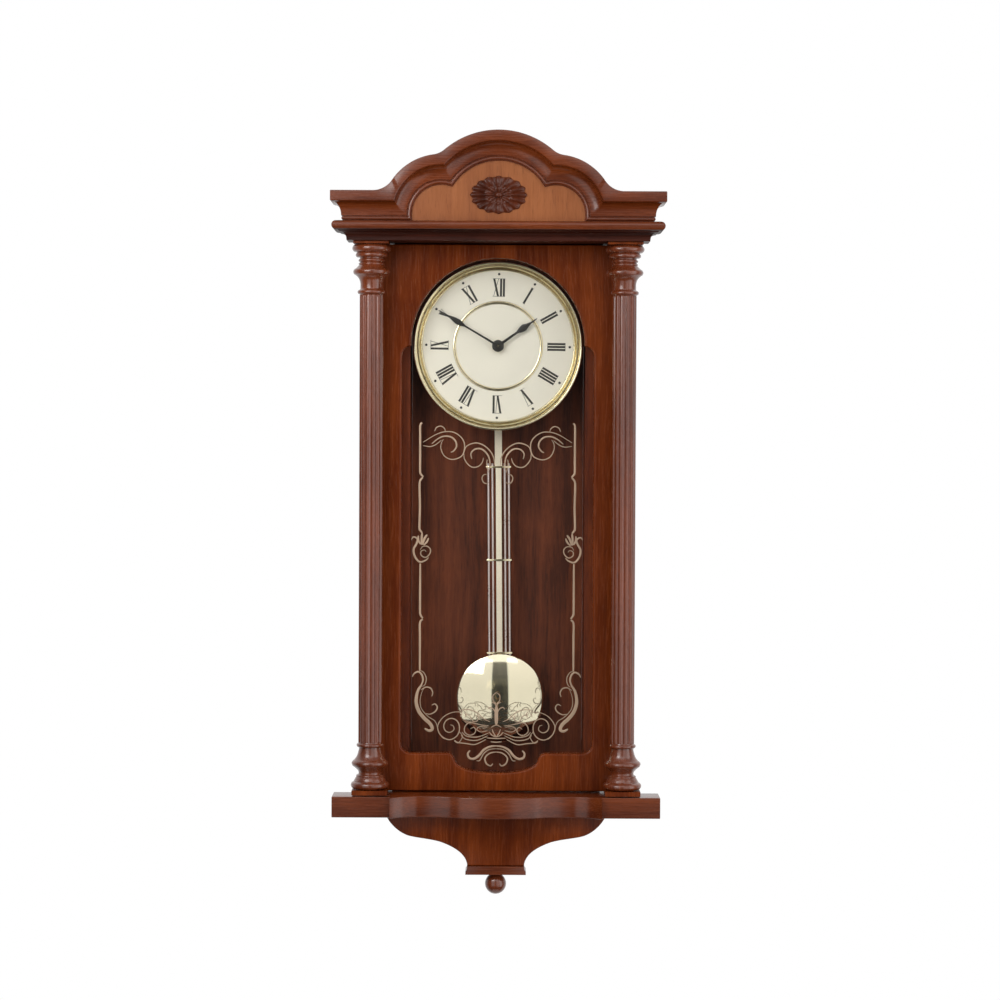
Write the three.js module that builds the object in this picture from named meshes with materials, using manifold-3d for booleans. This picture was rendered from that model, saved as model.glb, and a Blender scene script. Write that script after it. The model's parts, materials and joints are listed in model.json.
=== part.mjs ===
// Pendulum wall clock: an arched crown and a cornice over a glazed door with two turned columns, a serpentine
// shelf with a shaped apron below it, and a narrow case behind that holds the dial, the quartz movement and a
// grid-iron pendulum.
//
// Millimetres, +Z up, the clock faces -Y and the wall is the plane y = 0. Heights are written from the tip of
// the finial; the whole clock is then lowered so that the origin lies on the hanging rail's back face.

import * as THREE from "three";
import { mergeVertices } from "three/addons/utils/BufferGeometryUtils.js";
import Module from "manifold-3d";

const wasm = await Module();
wasm.setup();

// ---- driving dimensions ---------------------------------------------------------------------------------

const GAP = 0.3; // air between pieces that would touch
const HANGING_HEIGHT = 670; // the origin's height above the tip of the finial

const CASE_HALF_WIDTH = 112;
const BOARD = 12; // top and bottom boards
const SIDE_BOARD = 18;
const CASE_BOTTOM = 108;
const CASE_TOP = 694;
const CASE_FRONT = -84;
const PANEL_BACK = -10;
const PANEL_FRONT = -16;
const INNER_HALF_WIDTH = CASE_HALF_WIDTH - SIDE_BOARD - GAP;

const DOOR_HALF_WIDTH = 147;
const DOOR_BOTTOM = 109;
const DOOR_TOP = 693;
const DOOR_FRONT = -105;
const DOOR_BACK = -85;
const OPENING_HALF_WIDTH = 102.6;
const OPENING_BOTTOM = 149.4;
const OPENING_DIP = 127.9; // lowest point of the opening's shaped lower edge
const OPENING_CORNER = 11;
const GLASS_HALF_WIDTH = 107.4;
const GLASS_BOTTOM = 122.8;
const GLASS_TOP = 681.4;
const GLASS_FRONT = -92;
const GLASS_BACK = -89;
const REBATE = GLASS_HALF_WIDTH + 0.4;
const BEAD = 4; // width of the beads that hold the glass

const DIAL_HEIGHT = 586;
const DIAL_HOLE_RADIUS = 92.7;
const BEZEL_OUTER = 91.2;
const BEZEL_INNER = 81;
const DIAL_FRONT = -75.3;
const DIAL_BOARD_FRONT = -74;
const DIAL_BOARD_BACK = -66;
const MINUTE_ANGLE = 300.6; // hands at ten to two, degrees clockwise from twelve
const HOUR_ANGLE = 54.8;

const CROWN_HALF_WIDTH = 176;
const CORNICE_HALF_WIDTH = 174.6;
const SHELF_HALF_WIDTH = 173.6;
const EAR_BACK = -108; // the crown, cornice and shelf are shallow past the door's edges
const SLAB_BACK = -62;
const SHELF_BOTTOM = 85.6;
const SHELF_TOP = 107.7;
const SHELF_FRONT = -147;
const CORNICE_BOTTOM = 694.3;
const CORNICE_TOP = 714.3;
const CORNICE_FRONT = -166;

const CROWN_BOTTOM = 714.6;
const CROWN_FIELD = -152; // front of the crown's recessed panel
const MOULDING_DEPTH = 15; // how far the crown moulding stands out
const CROWN_EDGE = 745.4; // top of the crown's straight ends
const ARCH_RADIUS = 87.5;
const ARCH_HEIGHT = 721.4; // the arch and lobe centres
const LOBE_RADIUS = 62;
const LOBE_X = 60;
const END_FILLET = 24;
const VALLEY_FILLET = 22;

const FOOT_BOTTOM = 22.4; // the block under the apron
const FOOT_TOP = 31.4;
const FOOT_HALF_WIDTH = 32.2;
const BALL_RADIUS = 11.3;

const COLUMN_X = 134;
const COLUMN_Y = -126.1;
const HINGE_X = 114.7;
const HINGE_Y = -83;
const HINGE_HEIGHTS = { upper: 600, lower: 160 };
const HINGE_LENGTH = 40;
const KNUCKLE_RADIUS = 1.7;

const PIVOT_HEIGHT = 560; // pendulum pivot
const PENDULUM_Y = -49;
const PENDULUM_ANGLE = -0.6; // degrees about +Y: the bob is caught a little to the right of its swing
const BOB_HEIGHT = 203.8;
const BOB_RADIUS = 47.8;
const BOB_RIM = 1.2;
const DOME_RADIUS = 125; // of the bob's polished face
const DOME_STEPS = 8;
const CROSSBAR_HEIGHTS = [455.4, 354.1, 252.8];
const CROSSBAR_HALF_HEIGHT = 1.6;
const ROD_OFFSETS = [-11.2, -6.7, 6.7, 11.2];
const ROD_RADIUS = 1.2;

const MOVEMENT_FRONT = -65;
const MOVEMENT_SPLIT = -46.8;
const MOVEMENT_BACK = -33;
const MOVEMENT_HALF_WIDTH = 36;
const MOVEMENT_BOTTOM = 545;
const MOVEMENT_TOP = 640;
const SHELL = 2;
const ARBOR_DISTANCE = 12; // minute arbor to setting arbor
const CELL_X = -26.5;
const CELL_Y = -51;
const CELL_RADIUS = 6.9;

// ---- materials ------------------------------------------------------------------------------------------

function material(color, roughness, metalness, opacity = 1) {
  return new THREE.MeshStandardMaterial({
    color,
    roughness,
    metalness,
    opacity,
    transparent: opacity < 1,
  });
}

const WOOD = material(0x7a4128, 0.4, 0);
const WOOD_LIGHT = material(0x9c6244, 0.42, 0);
const WOOD_TURNED = material(0x6a3020, 0.3, 0);
const WOOD_DARK = material(0x45241a, 0.55, 0);
const BRASS = material(0xd6bf8a, 0.22, 1);
const STEEL = material(0xb9bbbd, 0.3, 1);
const DIAL_PAINT = material(0xe3dccb, 0.55, 0);
const BLACK = material(0x151312, 0.35, 0.2);
const PLASTIC = material(0x1d1e20, 0.6, 0);
const COPPER = material(0xa35a32, 0.4, 0.8);
const GLASS = material(0xdfe8e6, 0.05, 0, 0.2);
const CELL = material(0x3a5a48, 0.45, 0.3);

// ---- geometry helpers -----------------------------------------------------------------------------------

/** A geometry with only merged positions and no collapsed faces. */
function welded(geometry) {
  const bare = geometry.clone();
  bare.deleteAttribute("normal");
  bare.deleteAttribute("uv");
  const merged = mergeVertices(bare, 1e-4);
  const faces = merged.index.array;
  const kept = [];
  for (let i = 0; i < faces.length; i += 3) {
    const [a, b, c] = [faces[i], faces[i + 1], faces[i + 2]];
    if (a !== b && b !== c && c !== a) kept.push(a, b, c);
  }
  merged.setIndex(kept);
  return merged;
}

function toSolid(geometry) {
  const mesh = welded(geometry);
  return new wasm.Manifold(
    new wasm.Mesh({
      numProp: 3,
      vertProperties: new Float32Array(mesh.attributes.position.array),
      triVerts: new Uint32Array(mesh.index.array),
    }),
  );
}

function fromSolid(solid) {
  const mesh = solid.getMesh();
  const geometry = new THREE.BufferGeometry();
  geometry.setAttribute("position", new THREE.BufferAttribute(mesh.vertProperties, 3));
  geometry.setIndex(new THREE.BufferAttribute(mesh.triVerts, 1));
  return geometry;
}

function join(...geometries) {
  return fromSolid(geometries.map(toSolid).reduce((a, b) => a.add(b)));
}

function cut(geometry, ...tools) {
  return fromSolid(tools.map(toSolid).reduce((a, b) => a.subtract(b), toSolid(geometry)));
}

function common(...geometries) {
  return fromSolid(geometries.map(toSolid).reduce((a, b) => a.intersect(b)));
}

function box(x0, x1, y0, y1, z0, z1) {
  const geometry = new THREE.BoxGeometry(x1 - x0, y1 - y0, z1 - z0);
  return geometry.translate((x0 + x1) / 2, (y0 + y1) / 2, (z0 + z1) / 2);
}

function extruded(shape, depth, curveSegments) {
  return new THREE.ExtrudeGeometry(shape, { depth, bevelEnabled: false, curveSegments });
}

/** A shape drawn in x and z, extruded from y0 to y1. */
function alongY(shape, y0, y1, curveSegments = 12) {
  return extruded(shape, y1 - y0, curveSegments).rotateX(Math.PI / 2).translate(0, y1, 0);
}

/** A shape drawn in x and y, extruded from z0 to z1. */
function alongZ(shape, z0, z1, curveSegments = 12) {
  return extruded(shape, z1 - z0, curveSegments).translate(0, 0, z0);
}

/** A shape drawn in y and z, extruded from x0 to x1. */
function alongX(shape, x0, x1, curveSegments = 12) {
  const turn = new THREE.Matrix4().makeBasis(
    new THREE.Vector3(0, 1, 0),
    new THREE.Vector3(0, 0, 1),
    new THREE.Vector3(1, 0, 0),
  );
  return extruded(shape, x1 - x0, curveSegments).applyMatrix4(turn).translate(x0, 0, 0);
}

function polygon(points) {
  return new THREE.Shape(points.map(([x, y]) => new THREE.Vector2(x, y)));
}

/** Mirrors a half outline, given from the bottom round to the centre line, into a whole one. */
function mirroredOutline(half) {
  const other = half.map(([x, z]) => [-x, z]).reverse();
  return polygon([...half, ...other].filter(([x, z], i, all) => {
    const [px, pz] = all[(i + all.length - 1) % all.length];
    return Math.hypot(x - px, z - pz) > 1e-3;
  }));
}

/** Points on an arc from one angle to another, in degrees. */
function arcPoints(x, z, radius, from, to, steps) {
  return Array.from({ length: steps + 1 }, (_, i) => {
    const angle = THREE.MathUtils.degToRad(from + ((to - from) * i) / steps);
    return [x + radius * Math.cos(angle), z + radius * Math.sin(angle)];
  });
}

function bezierPoints(p0, p1, p2, p3, steps) {
  const curve = new THREE.CubicBezierCurve(...[p0, p1, p2, p3].map(([x, y]) => new THREE.Vector2(x, y)));
  return curve.getPoints(steps).map((p) => [p.x, p.y]);
}

/** A lathe body whose faces point out whichever way round its profile is listed. */
function lathe(profile, segments) {
  const points = profile.map(([radius, along]) => new THREE.Vector2(radius, along));
  if (THREE.ShapeUtils.area(points) < 0) points.reverse();
  return new THREE.LatheGeometry(points, segments);
}

/** A profile of [radius, height] pairs turned about a vertical axis. */
function turned(profile, x, y, segments = 20) {
  return lathe(profile, segments).rotateX(Math.PI / 2).translate(x, y, 0);
}

/** A profile of [radius, y] pairs turned about an axis that runs front to back. */
function turnedAlongY(profile, x, z, segments = 32) {
  return lathe(profile, segments).translate(x, 0, z);
}

function discAlongY(radius, y0, y1, x = 0, z = DIAL_HEIGHT, segments = 32) {
  return turnedAlongY([[0, y0], [radius, y0], [radius, y1], [0, y1]], x, z, segments);
}

function post(radius, x, y, z0, z1, segments = 16) {
  return turned([[0, z0], [radius, z0], [radius, z1], [0, z1]], x, y, segments);
}

const clock = new THREE.Group();
clock.position.z = -HANGING_HEIGHT;

function add(name, geometry, surface, parent = clock) {
  const mesh = new THREE.Mesh(welded(geometry), surface);
  mesh.name = name;
  parent.add(mesh);
  return mesh;
}

// ---- case -----------------------------------------------------------------------------------------------

function addCase() {
  const inner = INNER_HALF_WIDTH;
  const outer = CASE_HALF_WIDTH;
  const floor = CASE_BOTTOM + BOARD;
  const ceiling = CASE_TOP - BOARD;
  for (const [side, sign] of [["left", -1], ["right", 1]]) {
    const [x0, x1] = [sign * (outer - SIDE_BOARD), sign * outer].sort((a, b) => a - b);
    add(`side_board_${side}`, box(x0, x1, CASE_FRONT, 0, CASE_BOTTOM, CASE_TOP), WOOD);
  }
  add("top_board", box(-inner, inner, CASE_FRONT, 0, ceiling, CASE_TOP), WOOD);
  add("bottom_board", box(-inner, inner, CASE_FRONT, 0, CASE_BOTTOM, floor), WOOD);
  const panel = box(-inner, inner, PANEL_FRONT, PANEL_BACK, floor + GAP, ceiling - GAP);
  add("back_panel", panel, WOOD_DARK);
  const railBack = PANEL_BACK + GAP;
  const lowerRail = box(-inner, inner, railBack, 0, floor + GAP, floor + GAP + 32);
  add("lower_back_rail", lowerRail, WOOD);
  // The hanging rail is notched behind the keyhole plate, and the plate lies in a shallow rebate.
  const rail = cut(
    box(-inner, inner, railBack, 0, 626, ceiling - GAP),
    box(-20.4, 20.4, -1.6, 1, 625, 658.4),
    box(-8, 8, PANEL_BACK, 1, 625, 650),
  );
  add("hanging_rail", rail, WOOD);
  addHangerPlate();
}

function addHangerPlate() {
  const plate = box(-20, 20, -1.3, -GAP, 630, 658);
  const slot = new THREE.Shape();
  slot.moveTo(-2.2, 639);
  slot.lineTo(-2.2, 650);
  slot.absarc(0, 650, 2.2, Math.PI, 0, true);
  slot.lineTo(2.2, 639);
  slot.absarc(0, 636, 4.5, Math.PI * 0.33, -Math.PI * 1.33, true);
  add("hanger_plate", cut(plate, alongY(slot, -3, 1, 6)), STEEL);
}

// ---- crown, cornice, shelf and apron --------------------------------------------------------------------

/** The crown's top edge: straight ends, two lobes and an arch, with hollow fillets where they meet. */
function crownHeight(x) {
  const at = Math.abs(x);
  const end = END_FILLET;
  const endX = LOBE_X + Math.sqrt((LOBE_RADIUS + end) ** 2 - (CROWN_EDGE + end - ARCH_HEIGHT) ** 2);
  const endZ = CROWN_EDGE + end;
  const [lobeReach, archReach] = [LOBE_RADIUS + VALLEY_FILLET, ARCH_RADIUS + VALLEY_FILLET];
  // The lobe and arch centres lie level.
  const valleyX = (archReach ** 2 - lobeReach ** 2 + LOBE_X ** 2) / (2 * LOBE_X);
  const valleyZ = ARCH_HEIGHT + Math.sqrt(archReach ** 2 - valleyX ** 2);
  const archTouch = (valleyX * ARCH_RADIUS) / archReach;
  const valleyTouch = LOBE_X + ((valleyX - LOBE_X) * LOBE_RADIUS) / lobeReach;
  const lobeTouch = LOBE_X + ((endX - LOBE_X) * LOBE_RADIUS) / (LOBE_RADIUS + end);
  if (at <= archTouch) return ARCH_HEIGHT + Math.sqrt(ARCH_RADIUS ** 2 - at ** 2);
  if (at <= valleyTouch) return valleyZ - Math.sqrt(VALLEY_FILLET ** 2 - (at - valleyX) ** 2);
  if (at <= lobeTouch) return ARCH_HEIGHT + Math.sqrt(LOBE_RADIUS ** 2 - (at - LOBE_X) ** 2);
  if (at <= endX) return endZ - Math.sqrt(end ** 2 - (at - endX) ** 2);
  return CROWN_EDGE;
}

/** A line parallel to the crown's edge, from its right end to its left, mitred where two stretches meet. */
function crownLine(inset, endX) {
  const lobe = LOBE_RADIUS - inset;
  const arch = ARCH_RADIUS - inset;
  const edge = CROWN_EDGE - inset;
  const lobeX = LOBE_X + Math.sqrt(lobe ** 2 - (edge - ARCH_HEIGHT) ** 2);
  const crossX = (arch ** 2 - lobe ** 2 + LOBE_X ** 2) / (2 * LOBE_X);
  const crossZ = ARCH_HEIGHT + Math.sqrt(arch ** 2 - crossX ** 2);
  const lobeStart = degrees(Math.atan2(edge - ARCH_HEIGHT, lobeX - LOBE_X));
  const lobeEnd = degrees(Math.atan2(crossZ - ARCH_HEIGHT, crossX - LOBE_X));
  const archStart = degrees(Math.atan2(crossZ - ARCH_HEIGHT, crossX));
  const half = [
    ...[0, 0.74, 0.8, 0.86, 0.93].map((share) => [endX + (lobeX - endX) * share, edge]),
    ...arcPoints(LOBE_X, ARCH_HEIGHT, lobe, lobeStart, lobeEnd, 8),
    ...arcPoints(0, ARCH_HEIGHT, arch, archStart, 90, 7).slice(1),
  ];
  const right = inset === 0 ? half.map(([x]) => [x, crownHeight(x)]) : half;
  return [...right, ...right.slice(0, -1).reverse().map(([x, z]) => [-x, z])];
}

function degrees(radians) {
  return THREE.MathUtils.radToDeg(radians);
}

/** Inset from the crown's edge, and how far the moulding stands out there: fascia, cove, bead and fillet. */
const CROWN_PROFILE = [
  [0, 0],
  [0, 15],
  [11, 15],
  [11.4, 13.4],
  [13, 10.5],
  [16.5, 7.2],
  [21, 4.9],
  [26, 3.8],
  [28.5, 2.6],
  [30.4, 1.2],
  [30.6, 0],
];

/** The moulding's profile carried round both side returns and along the front. */
function crownMoulding() {
  const rows = CROWN_PROFILE.map(([inset, out]) => {
    const endX = CROWN_HALF_WIDTH - MOULDING_DEPTH + out;
    const line = crownLine(inset, endX).map(([x, z]) => [x, CROWN_FIELD - GAP - out, z]);
    const end = CROWN_EDGE - inset;
    return [[endX, EAR_BACK, end], ...line, [-endX, EAR_BACK, end]];
  });
  const columns = rows[0].length;
  const position = rows.flat(2);
  const index = [];
  rows.forEach((_, i) => {
    const next = (i + 1) % rows.length;
    for (let j = 0; j + 1 < columns; j += 1) {
      const [a, b] = [i * columns + j, i * columns + j + 1];
      const [c, d] = [next * columns + j, next * columns + j + 1];
      index.push(a, b, c, b, d, c);
    }
  });
  const section = CROWN_PROFILE.map(([inset, out]) => new THREE.Vector2(out, -inset));
  const flip = THREE.ShapeUtils.area(section) < 0;
  for (const [a, b, c] of THREE.ShapeUtils.triangulateShape(section, [])) {
    const [p, q, r] = (flip ? [a, c, b] : [a, b, c]).map((i) => i * columns);
    index.push(p, q, r, p + columns - 1, r + columns - 1, q + columns - 1);
  }
  const geometry = new THREE.BufferGeometry();
  geometry.setAttribute("position", new THREE.Float32BufferAttribute(position, 3));
  geometry.setIndex(index);
  return geometry;
}

function addCrown() {
  const half = CROWN_HALF_WIDTH - MOULDING_DEPTH - GAP;
  const top = crownLine(0, half);
  const outline = polygon([[half, CROWN_BOTTOM], ...top, [-half, CROWN_BOTTOM]]);
  add("crown_panel", alongY(outline, CROWN_FIELD, EAR_BACK), WOOD_LIGHT);
  add("crown_moulding", crownMoulding(), WOOD);
  addRosette();
}

function addRosette() {
  const petals = 16;
  const shape = new THREE.Shape();
  const steps = petals * 3;
  for (let i = 0; i <= steps; i += 1) {
    const angle = (i / steps) * Math.PI * 2;
    const lift = 1 + 0.03 * Math.cos(angle * petals);
    const point = [29 * lift * Math.cos(angle), 742 + 19.4 * lift * Math.sin(angle)];
    if (i === 0) shape.moveTo(...point);
    else shape.lineTo(...point);
  }
  const rosette = alongY(shape, CROWN_FIELD - 4.5, CROWN_FIELD - GAP);
  add("crown_rosette", rosette, WOOD_TURNED);
}

/** Half of a slab's plan behind its front edge: an ear at the end, then the deeper middle. */
function slabBack(halfWidth) {
  return [[DOOR_HALF_WIDTH + 1, SLAB_BACK], [DOOR_HALF_WIDTH + 1, EAR_BACK], [halfWidth, EAR_BACK]];
}

function addCornice() {
  const nose = arcPoints(0, 0, 4.9, 90, -90, 6); // half round, drawn as [outward, height]
  const noseCentre = CORNICE_TOP - 4.9;
  const cove = [[-6.5, -5.4], [-10, -8.2], [-13, -12.2], [-13.3, -13.6]];
  const profile = [
    ...nose.map(([out, up]) => [out - 4.9, noseCentre + up]),
    ...cove.map(([out, up]) => [out - 1.7, noseCentre + up]),
  ];
  profile.push([-15, CORNICE_BOTTOM]);
  const reach = CORNICE_HALF_WIDTH;
  const side = profile.map(([out, z]) => [reach + out, z]).reverse();
  const front = profile.map(([out, z]) => [CORNICE_FRONT - out, z]);
  const slab = mirroredOutline(slabBack(reach + 1).concat([[reach + 1, CORNICE_FRONT - 1]]));
  const cornice = common(
    alongY(mirroredOutline(side), CORNICE_FRONT - 1, SLAB_BACK + 1),
    alongX(polygon([...front, [SLAB_BACK + 1, CORNICE_BOTTOM], [SLAB_BACK + 1, CORNICE_TOP]]), -180, 180),
    alongZ(slab, CORNICE_BOTTOM - 1, CORNICE_TOP + 1),
  );
  add("cornice", cornice, WOOD);
}

function addShelf() {
  const corner = [CASE_HALF_WIDTH, -155];
  const hollow = [80, -141];
  const bulge = [0, -155];
  const half = [
    ...slabBack(SHELF_HALF_WIDTH),
    [SHELF_HALF_WIDTH, SHELF_FRONT],
    [CASE_HALF_WIDTH, SHELF_FRONT],
    ...bezierPoints(corner, [104, -148], [94, -141], hollow, 5),
    ...bezierPoints(hollow, [34, -141], [54, -155], bulge, 10).slice(1),
  ];
  add("shelf", alongZ(mirroredOutline(half), SHELF_BOTTOM, SHELF_TOP), WOOD);
}

function addApron() {
  const top = SHELF_BOTTOM - GAP;
  const neck = [FOOT_HALF_WIDTH - 2, FOOT_TOP + GAP];
  const half = [
    ...bezierPoints(neck, [FOOT_HALF_WIDTH - 1, 45], [46, 52.3], [59, 57], 6),
    ...bezierPoints([59, 57], [72, 60.6], [84, 60.8], [94, 63.8], 4).slice(1),
    ...bezierPoints([94, 63.8], [104, 67.5], [113, 76], [117, top], 4).slice(1),
  ];
  add("apron", alongY(mirroredOutline(half), -125, -100), WOOD);
  const flare = [
    [FOOT_HALF_WIDTH, FOOT_BOTTOM],
    [FOOT_HALF_WIDTH - 1, FOOT_BOTTOM + 4],
    [FOOT_HALF_WIDTH - 1.8, FOOT_TOP],
  ];
  add("apron_foot", alongY(mirroredOutline(flare), -128, -97), WOOD);
  const reach = FOOT_BOTTOM - GAP - BALL_RADIUS;
  const ball = arcPoints(0, BALL_RADIUS, BALL_RADIUS, -90, degrees(Math.asin(reach / BALL_RADIUS)) - 4, 10);
  ball[0][0] = 0;
  const spigot = 3;
  const finial = [...ball, [spigot, ball.at(-1)[1]], [spigot, FOOT_BOTTOM - GAP], [0, FOOT_BOTTOM - GAP]];
  add("finial", turned(finial, 0, -112.5, 20), WOOD_TURNED);
}

// ---- door -----------------------------------------------------------------------------------------------

/** The whole door opening: arched top, square shoulders with round corners, shaped lower edge. */
function doorOpening() {
  const w = OPENING_HALF_WIDTH;
  const r = OPENING_CORNER;
  const shoulder = DIAL_HEIGHT - 0.7;
  const step = [44, OPENING_DIP + 13];
  const half = [
    [0, OPENING_DIP],
    ...bezierPoints([14, OPENING_DIP + 0.6], [33, OPENING_DIP + 3], [40, OPENING_DIP + 8], step, 5),
    ...bezierPoints(step, [46, step[1] + 5], [48, OPENING_BOTTOM], [53, OPENING_BOTTOM], 3).slice(1),
    ...arcPoints(w - r, OPENING_BOTTOM + r, r, -90, 0, 4),
    ...arcPoints(w - r, shoulder - r, r, 0, 90, 4),
    ...arcPoints(0, DIAL_HEIGHT, DIAL_HOLE_RADIUS, 1, 90, 12),
  ];
  return mirroredOutline(half);
}

function addDoor() {
  const opening = alongY(doorOpening(), DOOR_FRONT - 1, DOOR_BACK + 1);
  const rebate = box(-REBATE, REBATE, GLASS_FRONT - GAP, DOOR_BACK + 1, GLASS_BOTTOM - GAP, GLASS_TOP + GAP);
  const railHalf = OPENING_HALF_WIDTH - GAP;
  const panels = {
    door_top_rail: box(-railHalf, railHalf, DOOR_FRONT, DOOR_BACK, 560, DOOR_TOP),
    door_bottom_rail: box(-railHalf, railHalf, DOOR_FRONT, DOOR_BACK, DOOR_BOTTOM, 165),
    door_stile_left: box(-DOOR_HALF_WIDTH, -OPENING_HALF_WIDTH, DOOR_FRONT, DOOR_BACK, DOOR_BOTTOM, DOOR_TOP),
    door_stile_right: box(OPENING_HALF_WIDTH, DOOR_HALF_WIDTH, DOOR_FRONT, DOOR_BACK, DOOR_BOTTOM, DOOR_TOP),
  };
  for (const [name, blank] of Object.entries(panels)) {
    add(name, name.includes("rail") ? cut(blank, opening, rebate) : cut(blank, rebate), WOOD);
  }
  const pane = box(-GLASS_HALF_WIDTH, GLASS_HALF_WIDTH, GLASS_FRONT, GLASS_BACK, GLASS_BOTTOM, GLASS_TOP);
  add("glass_pane", pane, GLASS);
  const [beadFront, w] = [GLASS_BACK + GAP, GLASS_HALF_WIDTH];
  const [low, high] = [GLASS_BOTTOM, GLASS_TOP];
  add("glass_bead_left", box(-w, -w + BEAD, beadFront, DOOR_BACK, low, high), WOOD);
  add("glass_bead_right", box(w - BEAD, w, beadFront, DOOR_BACK, low, high), WOOD);
  const inside = w - BEAD - GAP;
  add("glass_bead_top", box(-inside, inside, beadFront, DOOR_BACK, high - BEAD, high), WOOD);
  add("glass_bead_bottom", box(-inside, inside, beadFront, DOOR_BACK, low, low + BEAD), WOOD);
}

/** A turned column: torus, beaded neck, vase and collar at each end of the shaft. */
const COLUMN_PROFILE = [
  [0, 114], [18.8, 114], [20.2, 115.6], [20.2, 120], [18.8, 121.8], [16.6, 123],
  [15.2, 126], [13, 128.6], [12.1, 131.4], [15, 135.7], [19.3, 141.4], [16.4, 145.3],
  [13, 150.5], [11.5, 157.6], [14.3, 158.6], [14.3, 162.2], [12.6, 163],
  [12.6, 637.2], [14.6, 638.4], [14.6, 643.6], [11.9, 644.8], [12.1, 650.5],
  [13.4, 655], [16, 658], [19.4, 662.2], [18.2, 665], [15.2, 667.8], [13.2, 670],
  [12.8, 676.5], [17.2, 679.4], [17.4, 682.2], [20, 683.4], [20.6, 686], [20.2, 689.4],
  [18.4, 691.1], [0, 691.1],
];

function addColumns() {
  for (const [side, sign] of [["left", -1], ["right", 1]]) {
    const x = sign * COLUMN_X;
    add(`column_${side}`, turned(COLUMN_PROFILE, x, COLUMN_Y, 20), WOOD_TURNED);
    const [front, back] = [SHELF_FRONT + GAP, DOOR_FRONT - GAP];
    const base = box(x - 18.7, x + 18.7, front, back, DOOR_BOTTOM, 113.7);
    add(`column_base_block_${side}`, base, WOOD);
    const cap = box(x - 18.7, x + 18.7, front, back, 691.4, CORNICE_BOTTOM - 0.4);
    add(`column_cap_block_${side}`, cap, WOOD);
  }
}

function addHinge(label, bottom) {
  const third = HINGE_LENGTH / 3;
  const top = bottom + HINGE_LENGTH;
  const [low, high] = [bottom + third, bottom + 2 * third];
  const bore = post(1.1, HINGE_X, HINGE_Y, bottom - 1, top + 1);
  const knuckle = (z0, z1) => post(KNUCKLE_RADIUS, HINGE_X, HINGE_Y, z0, z1);
  const leafX = CASE_HALF_WIDTH + GAP;
  const caseTab = (z0, z1) => box(leafX, leafX + 1, HINGE_Y - 0.4, -80, z0, z1);
  const caseLeaf = join(
    box(leafX, leafX + 1, -80.6, -64, bottom, top),
    caseTab(bottom, low),
    knuckle(bottom, low),
    caseTab(high, top),
    knuckle(high, top),
  );
  add(`hinge_case_leaf_${label}`, cut(caseLeaf, bore), BRASS);
  const leafBack = DOOR_BACK + GAP;
  const doorLeaf = join(
    box(HINGE_X + 2.1, HINGE_X + 15, leafBack, leafBack + 1, bottom, top),
    box(HINGE_X, HINGE_X + 3, leafBack, leafBack + 1, low + GAP, high - GAP),
    knuckle(low + GAP, high - GAP),
  );
  add(`hinge_door_leaf_${label}`, cut(doorLeaf, bore), BRASS);
  add(`hinge_pin_${label}`, post(0.85, HINGE_X, HINGE_Y, bottom - 0.6, top + 0.6, 12), BRASS);
}

function addCatch() {
  const outside = -CASE_HALF_WIDTH - GAP;
  add("magnet_catch", box(outside - 9, outside, -83, -70, 395, 417), PLASTIC);
  add("strike_plate", box(outside - 9, outside - 0.5, -84.7, -83.6, 397, 415), STEEL);
}

// ---- dial, movement and hands ---------------------------------------------------------------------------

function addDial() {
  const board = new THREE.Shape();
  const w = INNER_HALF_WIDTH;
  board.moveTo(-w, DIAL_HEIGHT);
  board.absarc(0, DIAL_HEIGHT, 88, Math.PI, 2 * Math.PI, false);
  board.lineTo(w, DIAL_HEIGHT);
  board.lineTo(w, CASE_TOP - BOARD - GAP);
  board.lineTo(-w, CASE_TOP - BOARD - GAP);
  const boardHole = discAlongY(4.6, -90, -50, 0, DIAL_HEIGHT, 16);
  const boardBlank = alongY(board, DIAL_BOARD_FRONT, DIAL_BOARD_BACK, 16);
  add("dial_board", cut(boardBlank, boardHole), WOOD_DARK);
  const plate = [
    [4.6, DIAL_FRONT], [86, DIAL_FRONT], [86, DIAL_FRONT + 1], [4.6, DIAL_FRONT + 1], [4.6, DIAL_FRONT],
  ];
  add("dial_plate", turnedAlongY(plate, 0, DIAL_HEIGHT, 48), DIAL_PAINT);
  const back = DIAL_BOARD_FRONT - GAP;
  const bezel = [
    [BEZEL_INNER, DIAL_FRONT - GAP], [BEZEL_INNER, -78.5], [BEZEL_INNER + 1.8, -81.6],
    [BEZEL_OUTER - 5.2, -82.6], [BEZEL_OUTER - 2.2, -84], [BEZEL_OUTER, -82], [BEZEL_OUTER, back],
    [86.3, back], [86.3, DIAL_FRONT - GAP], [BEZEL_INNER, DIAL_FRONT - GAP],
  ];
  add("bezel", turnedAlongY(bezel, 0, DIAL_HEIGHT, 48), BRASS);
  const ring = [[45, -75.6], [45, -76.2], [48.6, -76.2], [48.6, -75.6], [45, -75.6]];
  add("chapter_ring", turnedAlongY(ring, 0, DIAL_HEIGHT, 40), BRASS);
}

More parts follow.
